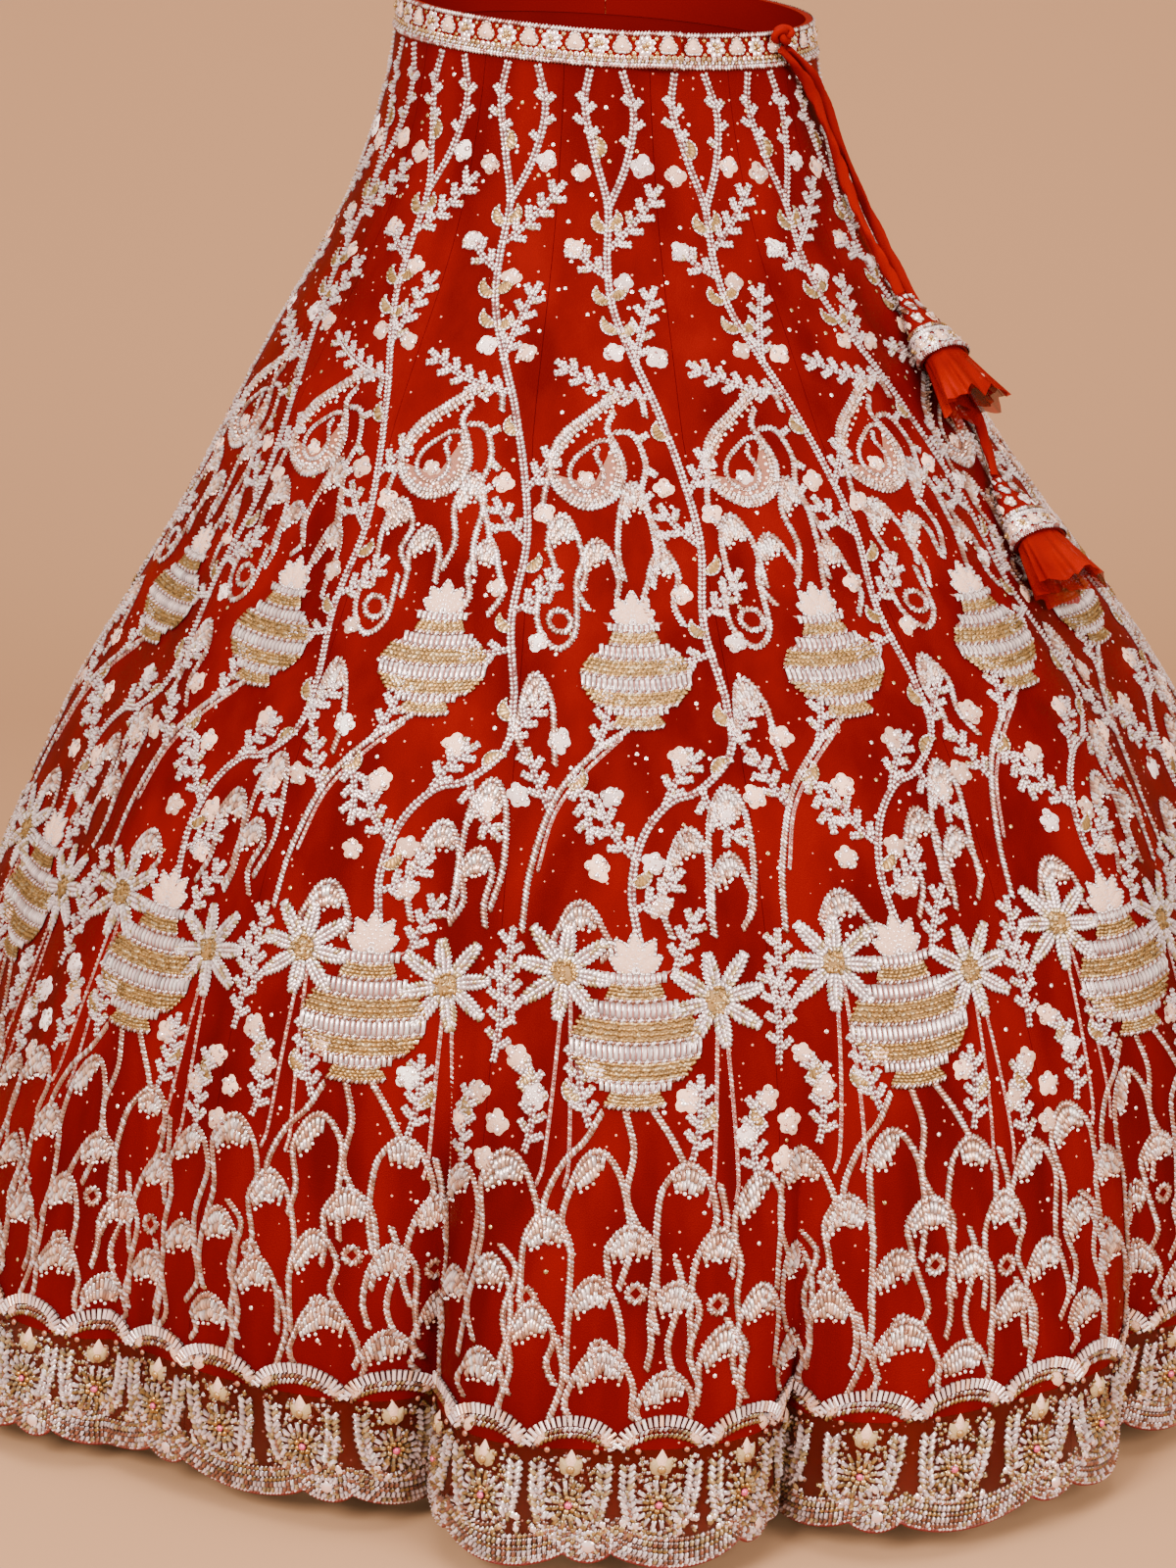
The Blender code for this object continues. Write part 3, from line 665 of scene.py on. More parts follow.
    def paisley(self, centre: complex, height: float, turn: float, mirrored: bool, copper: float) -> None:
        """A paisley outline with lashes of beads inside it, round a smaller one with a flower.

        Args:
            centre: Middle of its round end.
            height: Height from round end to tip.
            turn: Turn to the right, in degrees.
            mirrored: Whether the tip curls to the left.
            copper: Share of copper in its outline.
        """
        shape = np.array([0.58 + 0.74j, 0.50 + 0.96j, 0.24 + 0.93j, 0.0 + 0.72j, -0.26 + 0.44j,
            -0.38 + 0.12j, -0.30 - 0.18j, 0.0 - 0.34j, 0.29 - 0.19j, 0.38 + 0.11j, 0.30 + 0.38j,
            0.20 + 0.58j, 0.26 + 0.76j])
        if mirrored:
            shape = -shape.real + 1j * shape.imag
        inward = 1.0 if mirrored else -1.0
        way = heading(turn) / 1j
        outer = centre + way * smooth(shape) * height
        inner = centre + way * smooth(shape * 0.46 - 0.01j) * height
        self.rope(outer, copper=copper)
        self.rope(inner, width=0.0040, copper=copper)
        last = len(outer)
        for start, end in ((0.16, 0.44), (0.45, 0.84)):
            self.fringe(outer[int(last * start):int(last * end)], 0.105 * height, copper, 1.0, inward)
        self.flower(centre - 0.02 * height * way * 1j, 0.095 * height)

    def ring(self, centre: complex, radius: float, copper: float) -> None:
        """A ring of slanting beads."""
        angle = np.linspace(0.0, 2.0 * np.pi, 13)
        self.rope(centre + radius * np.exp(1j * angle), width=0.0046, copper=copper)

    def sparkle(self, at: np.ndarray) -> None:
        """Single sequins."""
        self.sew(at, 1.0, (0.0030, 0.0030, 0.0009), Bead.SEQUIN,
            self.mixed(len(at), (PEARL, PALE_GOLD), (2, 1)), 0.0004)


@dataclass
class KaliLayout:
    """The embroidery of one kali, from the waistband down to the border."""

    chart: FabricChart
    panel: int
    work: Needlework

    def at(self, share: float, down: float) -> complex:
        """Flat place at a share of the half width and a distance down."""
        return complex(share * float(self.chart.half_width(self.panel, down)), -down)

    def line(self, *stops: tuple) -> np.ndarray:
        """A smooth path through places given as (share of the half width, distance down)."""
        return smooth(np.array([self.at(*stop) for stop in stops]))

    def winding_arches(self, rows: tuple, fall: float, copper: float) -> None:
        """Arches with bead fringes on winding legs.

        Args:
            rows: Left and right end as shares of the half width, distance down, rise, length of
                either leg, and the shares of the arch between which its fringes hang.
            fall: Length of the fringes.
            copper: Share of copper among the beads.
        """
        for left, right, down, rise, one, two, start, end in rows:
            swings = 0.012 * (self.work.random.random(2) - 0.5)
            legs = (min(one, LEGS_END - down), min(two, LEGS_END - down), *swings)
            slant = 0.010 * (self.work.random.random() - 0.5)
            ends = self.at(left - 0.03, down), self.at(right + 0.03, down + slant)
            self.work.arch(*ends, rise, fall, copper, legs, (start, end))

    def climbing_vines(self) -> None:
        """Vines that climb to the waistband, with sprays, small flowers and gold crescents."""
        work = self.work
        work.stem(self.line((-0.40, 0.028), (-0.50, 0.052), (-0.22, 0.090), (0.02, 0.122), (0.0, 0.160),
            (0.10, 0.196), (0.42, 0.236), (0.72, 0.276), (0.90, 0.320), (0.98, 0.372), (0.86, 0.430),
            (0.95, 0.482)))
        work.stem(self.line((0.36, 0.028), (0.60, 0.056), (0.42, 0.090), (0.03, 0.122)))
        for share, down, degrees in (
            (-0.50, 0.050, -38.0), (-0.46, 0.056, 44.0), (-0.52, 0.064, -52.0), (-0.40, 0.072, 56.0),
            (0.54, 0.050, -44.0), (0.60, 0.052, 40.0), (0.60, 0.066, 54.0), (0.50, 0.078, -50.0),
        ):
            work.leaf(self.at(share, down), heading(degrees), 0.0080)
        for share, down, degrees, length, bend in (
            (0.02, 0.152, 46.0, 0.050, -14.0),
            (0.01, 0.172, -62.0, 0.026, 26.0),
            (0.42, 0.238, 6.0, 0.052, 12.0),
            (0.60, 0.262, -84.0, 0.060, 28.0),
            (0.93, 0.335, 34.0, 0.030, -12.0),
            (0.95, 0.372, -52.0, 0.030, 20.0),
            (0.88, 0.424, 58.0, 0.034, -30.0),
            (0.90, 0.450, -120.0, 0.030, 40.0),
        ):
            work.sprig(self.at(share, down), degrees, length, bend)
        for share, down in (
            (-0.55, 0.098), (0.72, 0.092), (0.30, 0.176), (-0.62, 0.152), (0.12, 0.228), (0.76, 0.232),
            (0.64, 0.330), (1.18, 0.350), (0.68, 0.408), (1.16, 0.444),
        ):
            work.flower(self.at(share, down), 0.0070 + 0.0012 * work.random.random(), 4, down * 40.0)
        for share, down, degrees, curl in (
            (-0.28, 0.086, 40.0, 1.3), (0.0, 0.136, 60.0, 1.2), (0.0, 0.138, -60.0, -1.2),
            (0.04, 0.186, 72.0, 1.2),
            (0.04, 0.190, -72.0, -1.2), (0.20, 0.214, 64.0, 1.1), (0.18, 0.212, -76.0, -1.1),
            (0.80, 0.292, -66.0, -1.2),
            (0.97, 0.392, 68.0, 1.2), (0.88, 0.436, -80.0, -1.2),
        ):
            work.crescent(self.at(share, down), heading(degrees), 0.0165, curl)

    def hanging_paisleys(self) -> None:
        """A large paisley with bead lashes between the vines, over winding fringed arches."""
        work = self.work
        work.paisley(self.at(-0.30, 0.322), 0.066, 4.0, False, 0.30)
        self.winding_arches((
            (-0.74, -0.42, 0.372, 0.022, 0.040, 0.030, 0.1, 0.9),
            (0.10, 0.40, 0.352, 0.026, 0.044, 0.050, 0.1, 0.9),
            (-0.34, -0.04, 0.384, 0.018, 0.034, 0.020, 0.1, 0.8),
            (0.36, 0.64, 0.398, 0.022, 0.030, 0.034, 0.3, 0.9),
        ), 0.013, 0.32)
        snake = self.line((0.10, 0.288), (0.34, 0.290), (0.46, 0.312), (0.36, 0.336), (0.50, 0.362),
            (0.60, 0.390))
        work.rope(snake, copper=0.3)
        for place, degrees in ((0.25, 60.0), (0.42, 130.0), (0.62, 50.0), (0.80, 120.0)):
            work.leaf(snake[int(place * len(snake))], heading(degrees), 0.0090)
        work.rope(self.line((-0.74, 0.314), (-0.84, 0.345), (-0.70, 0.366)), copper=0.3)
        work.ring(self.at(-0.62, 0.428), 0.0080, 0.35)
        work.rope(self.line((-0.84, 0.398), (-0.86, 0.430), (-0.66, 0.448), (-0.46, 0.436), (-0.44, 0.404)),
            copper=0.35)

    def urns(self) -> None:
        """Two tiers of beaded urns."""
        self.work.urn(self.at(0.12, 0.500), 0.92)
        self.work.urn(self.at(0.02, 0.747), 1.08)

    def garden(self) -> None:
        """Arching branches, flowers and fringed loops between the two tiers of urns."""
        work = self.work
        work.stem(self.line((0.95, 0.482), (0.92, 0.520), (0.60, 0.545), (0.34, 0.552), (0.10, 0.575),
            (0.0, 0.610), (0.06, 0.648)))
        work.rope(self.line((0.02, 0.502), (-0.30, 0.520), (-0.62, 0.552), (-0.80, 0.600), (-0.84, 0.640)),
            copper=0.3)
        work.thin(self.line((-0.04, 0.508), (-0.36, 0.532), (-0.62, 0.562), (-0.74, 0.600)))
        for share, down, degrees, length, bend in (
            (-0.30, 0.521, 30.0, 0.042, -24.0),
            (-0.66, 0.560, -28.0, 0.034, 14.0),
            (0.92, 0.518, 24.0, 0.032, 12.0),
            (0.62, 0.544, 168.0, 0.040, -40.0),
            (0.30, 0.553, 20.0, 0.034, 30.0),
            (0.05, 0.590, -50.0, 0.038, 30.0),
            (0.02, 0.622, 70.0, 0.032, -30.0),
            (-0.46, 0.536, 150.0, 0.036, 30.0),
        ):
            work.sprig(self.at(share, down), degrees, length, bend)
        for share, down in ((-0.14, 0.548), (0.18, 0.592), (0.46, 0.522), (-0.26, 0.596), (0.80, 0.562),
            (0.22, 0.620), (-0.60, 0.512), (-0.94, 0.552)):
            work.flower(self.at(share, down), 0.0076 + 0.0014 * work.random.random(), 5, down * 50.0)
        for share, down, degrees, curl in ((-0.50, 0.542, 70.0, 1.2), (0.75, 0.536, 20.0, -1.2),
            (0.0, 0.604, 80.0, 1.2), (0.96, 0.500, -60.0, -1.2)):
            work.crescent(self.at(share, down), heading(degrees), 0.0180, curl)
        self.winding_arches((
            (0.68, 0.94, 0.566, 0.024, 0.056, 0.060, 0.1, 0.9),
            (0.32, 0.58, 0.594, 0.022, 0.046, 0.040, 0.1, 0.9),
            (0.66, 0.86, 0.606, 0.016, 0.034, 0.034, 0.1, 0.9),
            (-0.94, -0.70, 0.490, 0.022, 0.036, 0.040, 0.1, 0.9),
            (-0.52, -0.24, 0.636, 0.018, 0.016, 0.018, 0.1, 0.9),
        ), 0.013, 0.4)

    def star_flowers(self) -> None:
        """Large flowers on double stems, with leafy sprays beside them."""
        work = self.work
        for share, down, foot, turn in ((-0.50, 0.664, 0.800, 8.0), (0.60, 0.682, 0.812, -12.0)):
            work.thin(self.line((share, down + 0.008), (share - 0.06, foot - 0.02), (share - 0.10, foot)))
            work.thin(self.line((share + 0.05, down + 0.008), (share + 0.10, foot - 0.02),
                (share + 0.08, foot)))
            work.star_flower(self.at(share, down), 0.0335, turn)
        for share, down, degrees, length, bend in (
            (-0.86, 0.700, -12.0, 0.052, 22.0),
            (1.02, 0.726, 4.0, 0.056, -20.0),
            (0.30, 0.664, 12.0, 0.036, 20.0),
            (-0.28, 0.760, -20.0, 0.044, 20.0),
            (0.40, 0.782, 16.0, 0.044, -20.0),
            (-0.70, 0.780, 20.0, 0.050, -34.0),
            (0.84, 0.802, -18.0, 0.050, 30.0),
        ):
            work.sprig(self.at(share, down), degrees, length, bend)
        for share, down in ((-0.80, 0.722), (0.92, 0.748), (-0.26, 0.726), (0.38, 0.744), (-0.66, 0.744),
            (0.76, 0.770), (-0.92, 0.766), (1.02, 0.790)):
            work.flower(self.at(share, down), 0.0078 + 0.0014 * work.random.random(), 5, down * 60.0)
        for share, down, degrees, curl in ((-0.78, 0.738, 60.0, 1.3), (0.90, 0.764, -60.0, -1.3),
            (-0.34, 0.744, -70.0, -1.2), (0.44, 0.762, 70.0, 1.2)):
            work.crescent(self.at(share, down), heading(degrees), 0.0180, curl)

    def trailing_loops(self) -> None:
        """Rose-gold arches with bead fringes on long winding legs, down to the border."""
        work = self.work
        copper = 0.5
        self.winding_arches((
            (-0.96, -0.66, 0.806, 0.022, 0.050, 0.034, 0.1, 0.9),
            (-0.34, -0.06, 0.798, 0.024, 0.044, 0.060, 0.1, 0.6),
            (0.22, 0.50, 0.806, 0.020, 0.058, 0.030, 0.3, 0.9),
            (0.70, 0.98, 0.822, 0.024, 0.036, 0.056, 0.1, 0.7),
            (-0.62, -0.38, 0.838, 0.022, 0.046, 0.052, 0.1, 0.9),
            (-0.10, 0.16, 0.840, 0.018, 0.034, 0.048, 0.1, 0.9),
            (0.44, 0.68, 0.852, 0.024, 0.048, 0.036, 0.2, 0.9),
            (-0.94, -0.74, 0.866, 0.018, 0.040, 0.046, 0.1, 0.9),
            (-0.30, -0.06, 0.878, 0.024, 0.044, 0.030, 0.1, 0.8),
            (0.18, 0.42, 0.880, 0.020, 0.034, 0.046, 0.2, 0.9),
            (0.74, 0.96, 0.886, 0.020, 0.046, 0.034, 0.1, 0.9),
            (-0.66, -0.44, 0.898, 0.022, 0.036, 0.028, 0.1, 0.9),
            (0.48, 0.72, 0.912, 0.020, 0.026, 0.030, 0.1, 0.9),
            (-0.96, -0.72, 0.926, 0.018, 0.018, 0.022, 0.1, 0.9),
            (-0.26, 0.04, 0.924, 0.024, 0.024, 0.020, 0.1, 0.9),
            (0.14, 0.38, 0.934, 0.016, 0.014, 0.014, 0.1, 0.9),
        ), 0.015, copper)
        for stops in (
            ((-0.20, 0.752), (-0.30, 0.770), (-0.44, 0.786), (-0.54, 0.812), (-0.50, 0.836)),
            ((-0.04, 0.752), (0.02, 0.776), (-0.02, 0.804), (0.06, 0.824)),
            ((0.14, 0.750), (0.26, 0.768), (0.36, 0.788)),
            ((0.58, 0.800), (0.62, 0.826), (0.54, 0.846)),
            ((-0.80, 0.842), (-0.68, 0.856), (-0.74, 0.886), (-0.66, 0.916), (-0.72, 0.946)),
            ((0.30, 0.846), (0.34, 0.866), (0.26, 0.900), (0.32, 0.924)),
            ((-0.40, 0.894), (-0.34, 0.920), (-0.40, 0.948)),
            ((0.62, 0.886), (0.72, 0.912), (0.70, 0.946)),
        ):
            work.rope(self.line(*stops), copper=copper)
        for share, down in ((-0.60, 0.872), (0.06, 0.866), (0.56, 0.876), (-0.14, 0.902)):
            work.ring(self.at(share, down), 0.0056, copper)

    def border(self) -> None:
        """The scalloped border: bugle arches over flower motifs, rows of beads and a corded edge."""
        work = self.work
        top, foot = BORDER_TOP, self.chart.down_at(1.0)
        edges = Scallops().edge(self.chart, self.panel, foot)
        half = float(self.chart.half_width(self.panel, foot - 0.03))
        for arch in range(4):
            left, right = -half + half * arch / 2.0, -half + half * (arch + 1) / 2.0
            self.border_arch(left, right, top)
        for arch in range(5):
            x = -half + half * arch / 2.0
            for side in (1.0, -1.0):
                petal = complex(x, -(top + 0.012)) + side * 0.0045
                way = heading(26.0 * side)
                spine = petal + way * np.array([0.0, 0.3, 0.7, 1.0]) * 0.0135
                width = np.array([0.002, 0.0042, 0.0038, 0.0004])
                work.pad(blade(spine, way, width), 0.0022, PEACH)
        self.border_rows(edges)

    def border_arch(self, left: float, right: float, top: float) -> None:
        """One arch of the border with its bud, rosette and leaf sprays."""
        work = self.work
        middle, width = (left + right) / 2.0, right - left
        t = np.linspace(0.0, 1.0, 15)
        crown = left + width * t - 1j * (top + 0.010) + 0.016j * np.sin(np.pi * t) ** 0.55
        at, way = even(crown, 0.0036)
        work.sew(at, 1j * way, (0.0066, 0.0030, 0.0028), Bead.BUGLE,
            work.mixed(len(at), (PEARL, SILVER, PEACH), (3, 2, 1)), 0.0006)
        for inside, tints in ((0.0060, (COPPER, PALE_GOLD, SILVER)), (0.0100, (GOLD, COPPER, PEARL))):
            at, way = even(crown[1:-1] - 1j * inside, 0.0031)
            work.sew(at, way * np.exp(0.9j), (0.0042, 0.0021, 0.0020), Bead.RICE,
                work.mixed(len(at), tints, (3, 2, 2)), 0.0005)
        bud = complex(middle, -(top + 0.030))
        for turn, scale in ((-32.0, 0.8), (32.0, 0.8), (0.0, 1.0)):
            way = heading(turn)
            spine = bud + way * np.array([0.0, 0.3, 0.65, 1.0]) * 0.0165 * scale
            swell = np.array([0.0024, 0.0046, 0.0036, 0.0002])
            work.pad(blade(spine, way, swell), 0.0026, PALE_GOLD if turn else PEACH)
        work.sew(bud + 0.004j, 1.0, (0.0058, 0.0058, 0.0034), Bead.STONE, GOLD, 0.0016)
        rose = complex(middle, -(top + 0.050))
        for count, radius, tint, length in ((16, 0.0135, SILVER, 0.0064), (12, 0.0088, PALE_GOLD, 0.0050)):
            ring = np.exp(2j * np.pi * (np.arange(count) + 0.5) / count)
            tints = work.mixed(count, (tint, GOLD), (3, 1))
            work.sew(rose + radius * ring, ring, (length, 0.0029, 0.0026), Bead.RICE, tints, 0.0008)
        ring = np.exp(2j * np.pi * np.arange(7) / 7)
        work.sew(rose + 0.0046 * ring, 1.0, (0.0040, 0.0040, 0.0026), Bead.SEQUIN,
            work.mixed(7, (GOLD, PALE_GOLD), (2, 1)), 0.0010)
        work.sew(rose, 1.0, (0.0052, 0.0052, 0.0036), Bead.STONE, ROSE, 0.0010)
        for radius, count, tints in ((0.0190, 22, (COPPER, SILVER, GOLD)),
            (0.0225, 26, (SILVER, PALE_GOLD, PEARL))):
            turn = np.exp(1j * (np.linspace(-0.12, 1.12, count) * np.pi + np.pi))
            work.sew(rose + radius * turn, 1j * turn * np.exp(0.6j), (0.0042, 0.0024, 0.0022), Bead.RICE,
                work.mixed(count, tints, (2, 2, 1)), 0.0006)
        for side in (1.0, -1.0):
            base = rose + side * 0.0175 - 0.008j
            spray = base + side * np.array([0.0, 0.0035, 0.0040]) + 1j * np.array([0.0, 0.016, 0.033])
            path = smooth(spray)
            at, way = even(path, 0.0040)
            for turn in (0.8, -0.8):
                work.sew(at + 1j * way * turn * 0.0034, way * np.exp(0.8j * np.sign(turn)),
                    (0.0062, 0.0033, 0.0030), Bead.RICE,
                    work.mixed(len(at), (PEARL, SILVER, PALE_GOLD), (4, 3, 2)), 0.0008)
            for low, high, count, size in ((-0.014, 0.0, 26, 0.0032), (0.006, 0.040, 60, 0.0030)):
                across = (work.random.random(count) - 0.5) * 0.026 - side * 0.004
                spots = base + across + 1j * (low + (high - low) * work.random.random(count))
                turned = np.exp(2j * np.pi * work.random.random(count))
                tints = work.mixed(count, (GOLD, COPPER, PALE_GOLD, PEARL), (3, 3, 2, 2))
                work.sew(spots, turned, (size, 0.0022, 0.0020), Bead.RICE, tints, 0.0003)
            strewn = (work.random.random(6) - 0.5) * 0.020
            spots = base - side * 0.002 + strewn - 1j * work.random.random(6) * 0.014
            work.sew(spots, 1.0, (0.0046, 0.0046, 0.0014), Bead.SEQUIN,
                work.mixed(6, (PEARL, PALE_GOLD), (2, 1)), 0.0012)
            gem = complex(middle + side * width * 0.27, -(top + 0.014))
            work.sew(gem, 1.0, (0.0044, 0.0044, 0.0026), Bead.STONE, COPPER, 0.0008)

    def border_rows(self, edge: np.ndarray) -> None:
        """Rows of beads that follow the scalloped edge.

        Args:
            edge: Flat points of the edge, from left to right.
        """
        work = self.work
        for inside, length, slant, kind, tints, weights in (
            (0.0030, 0.0042, 1.2, Bead.RICE, (SILVER, PALE_GOLD, COPPER), (2, 1, 2)),
            (0.0068, 0.0046, 1.3, Bead.RICE, (SILVER, PEARL, COPPER), (3, 2, 3)),
            (0.0106, 0.0038, 0.7, Bead.RICE, (GOLD, COPPER, SILVER), (2, 3, 1)),
            (0.0146, 0.0044, 1.3, Bead.RICE, (SILVER, PALE_GOLD, COPPER), (3, 2, 2)),
            (0.0184, 0.0036, 0.5, Bead.RICE, (COPPER, GOLD, SILVER), (3, 2, 1)),
        ):
            at, way = even(edge + 1j * inside, 0.0034)
            work.sew(at, way * np.exp(1j * slant), (length, 0.0027, 0.0024), kind,
                work.mixed(len(at), tints, weights), 0.0008)
        work.strip(edge - 0.0006j, 0.0022, EDGE_RED, 0.0012, 0.003)
        at, way = even(edge + 0.0006j, 0.0026)
        work.sew(at, way * np.exp(0.6j), (0.0032, 0.0021, 0.0022), Bead.RICE,
            work.mixed(len(at), (BLUSH, PEARL), (2, 3)), 0.0002)
        for centre in Scallops().small_centres(edge):
            middle = centre + 0.0105j
            ring = np.exp(2j * np.pi * np.arange(10) / 10)
            work.sew(middle + 0.0066 * ring, ring, (0.0042, 0.0026, 0.0024), Bead.RICE,
                work.mixed(10, (PEARL, PALE_GOLD), (2, 1)), 0.0012)
            work.sew(middle, 1.0, (0.0088, 0.0088, 0.0024), Bead.SEQUIN, PEARL, 0.0022)

    def sparkles(self) -> None:
        """Single sequins strewn over the net."""
        down = 0.03 + 0.90 * self.work.random.random(70)
        share = 1.9 * (self.work.random.random(70) - 0.5)
        places = np.array([self.at(s, d) for s, d in zip(share, down)])
        self.work.sparkle(places)

    def draw(self) -> None:
        """Draws every motif."""
        self.climbing_vines()
        self.hanging_paisleys()
        self.urns()
        self.garden()
        self.star_flowers()
        self.trailing_loops()
        self.border()
        self.sparkles()


@dataclass(frozen=True)
class Scallops:
    """The scalloped hem: wide and small scallops by turns, twice across a kali."""

    repeats: int = 2
    wide: float = 0.74
    wide_depth: float = 0.012
    small_depth: float = 0.007
    roundness: float = 0.7
    start_share: float = 0.925

    def hang(self, across: np.ndarray) -> np.ndarray:
        """How far the hem hangs below its line at shares across a kali, 0 to 1."""
        turn = (np.asarray(across) * self.repeats) % 1.0
        wide = np.clip(turn / self.wide, 0.0, 1.0)
        small = np.clip((turn - self.wide) / (1.0 - self.wide), 0.0, 1.0)
        arch = self.wide_depth * np.maximum(np.sin(np.pi * wide), 0.0) ** self.roundness
        return arch + self.small_depth * np.maximum(np.sin(np.pi * small), 0.0) ** self.roundness

    def edge(self, chart: FabricChart, panel: int, foot: float) -> np.ndarray:
        """Flat points of a kali's hem edge, from left to right."""
        across = np.linspace(0.0, 1.0, 145)
        half = float(chart.half_width(panel, foot))
        return (2.0 * across - 1.0) * half - 1j * (foot + self.hang(across))

    def small_centres(self, edge: np.ndarray) -> list[complex]:
        """Lowest points of the small scallops of an edge."""
        middle = (self.wide + (1.0 - self.wide) / 2.0) / self.repeats
        last = len(edge) - 1
        return [edge[int(round(last * (middle + i / self.repeats)))] for i in range(self.repeats)]


class NodeSketch:
    """Short calls to add and link nodes in one tree."""

    def __init__(self, tree: bpy.types.NodeTree) -> None:
        """Takes the tree to work on."""
        self.tree = tree

    def add(self, kind: str, **settings: object) -> bpy.types.Node:
        """Adds a node.

        Args:
            kind: Blender's name for the node type.
            **settings: Properties of the node; a name of a digit after `input_` sets a socket.

        Returns:
            The node.
        """
        node = self.tree.nodes.new(kind)
        for name, value in settings.items():
            if name.startswith("input_"):
                node.inputs[int(name[6:])].default_value = value
            else:
                setattr(node, name, value)
        return node

    def link(self, source: bpy.types.NodeSocket, target: bpy.types.NodeSocket) -> None:
        """Links two sockets."""
        self.tree.links.new(source, target)


@dataclass(frozen=True)
class Finish:
    """A Principled finish: constants for its sockets, with patterns added by the subclasses."""

    name: str
    colour: tuple = (0.8, 0.8, 0.8)
    roughness: float = 0.5
    metallic: float = 0.0
    sheen: float = 0.0
    coat: float = 0.0
    alpha: float = 1.0
    specular: float = 0.5
    gleam: tuple = (1.0, 1.0, 1.0)

    def build(self) -> bpy.types.Material:
        """Makes the material.

        Returns:
            The material, with its pattern.
        """
        material = bpy.data.materials.new(self.name)
        material.use_nodes = True
        sketch = NodeSketch(material.node_tree)
        shader = material.node_tree.nodes["Principled BSDF"]
        shader.inputs["Base Color"].default_value = (*self.colour, 1.0)
        shader.inputs["Roughness"].default_value = self.roughness
        shader.inputs["Metallic"].default_value = self.metallic
        shader.inputs["Sheen Weight"].default_value = self.sheen
        shader.inputs["Coat Weight"].default_value = self.coat
        shader.inputs["Alpha"].default_value = self.alpha
        shader.inputs["Specular IOR Level"].default_value = self.specular
        shader.inputs["Specular Tint"].default_value = (*self.gleam, 1.0)
        self.pattern(sketch, shader)
        return material

    def pattern(self, sketch: NodeSketch, shader: bpy.types.Node) -> None:
        """Adds the pattern; a plain finish has none."""

    @staticmethod
    def object_space(sketch: NodeSketch) -> bpy.types.NodeSocket:
        """Object coordinates, in metres."""
        return sketch.add("ShaderNodeTexCoord").outputs["Object"]

    @staticmethod
    def mix_colours(sketch: NodeSketch, factor: bpy.types.NodeSocket, one: tuple,
            two: tuple) -> bpy.types.Node:
        """A mix of two colours by a factor."""
        mix = sketch.add("ShaderNodeMix", data_type="RGBA")
        sketch.link(factor, mix.inputs["Factor"])
        mix.inputs[6].default_value = (*one, 1.0)
        mix.inputs[7].default_value = (*two, 1.0)
        return mix

    @staticmethod
    def bump(sketch: NodeSketch, shader: bpy.types.Node, height: bpy.types.NodeSocket, strength: float,
            distance: float) -> None:
        """Bump from a height."""
        bump = sketch.add("ShaderNodeBump")
        bump.inputs["Strength"].default_value = strength
        bump.inputs["Distance"].default_value = distance
        sketch.link(height, bump.inputs["Height"])
        sketch.link(bump.outputs["Normal"], shader.inputs["Normal"])


@dataclass(frozen=True)
class Tinted(Finish):
    """Beads or stitches whose colour is sewn in as the attribute `tint`."""

    grain: float = 0.0
    grain_scale: float = 900.0
    # Share of the tint left at a bead's base, rising to full at its tip: painted shade towards the cloth.
    underside: float = 1.0

    def pattern(self, sketch: NodeSketch, shader: bpy.types.Node) -> None:
        """Reads the tint, paints shade on a bead, darkest at its base on the cloth, and grains filled
        stitches.
        """
        tint = sketch.add("ShaderNodeAttribute", attribute_name="tint")
        sketch.link(tint.outputs["Color"], shader.inputs["Base Color"])
        # Painted shade: the tint is scaled by the height in the bead, from `underside` at its base to full
        # at its tip.
        if self.underside < 1.0:
            rise = sketch.add("ShaderNodeAttribute", attribute_name="rise")
            light = sketch.add("ShaderNodeMapRange")
            light.inputs["To Min"].default_value = self.underside
            sketch.link(rise.outputs["Fac"], light.inputs["Value"])
            lit = sketch.add("ShaderNodeVectorMath", operation="SCALE")
            sketch.link(tint.outputs["Color"], lit.inputs[0])
            sketch.link(light.outputs["Result"], lit.inputs["Scale"])
            sketch.link(lit.outputs["Vector"], shader.inputs["Base Color"])
        if self.grain:
            noise = sketch.add("ShaderNodeTexNoise")
            noise.inputs["Scale"].default_value = self.grain_scale
            noise.inputs["Detail"].default_value = 1.0
            sketch.link(self.object_space(sketch), noise.inputs["Vector"])
            self.bump(sketch, shader, noise.outputs["Fac"], self.grain, 0.0006)
            shade = sketch.add("ShaderNodeMix", data_type="RGBA", blend_type="MULTIPLY")
            shade.inputs["Factor"].default_value = 0.45
            sketch.link(tint.outputs["Color"], shade.inputs[6])
            sketch.link(noise.outputs["Fac"], shade.inputs[7])
            sketch.link(shade.outputs[2], shader.inputs["Base Color"])


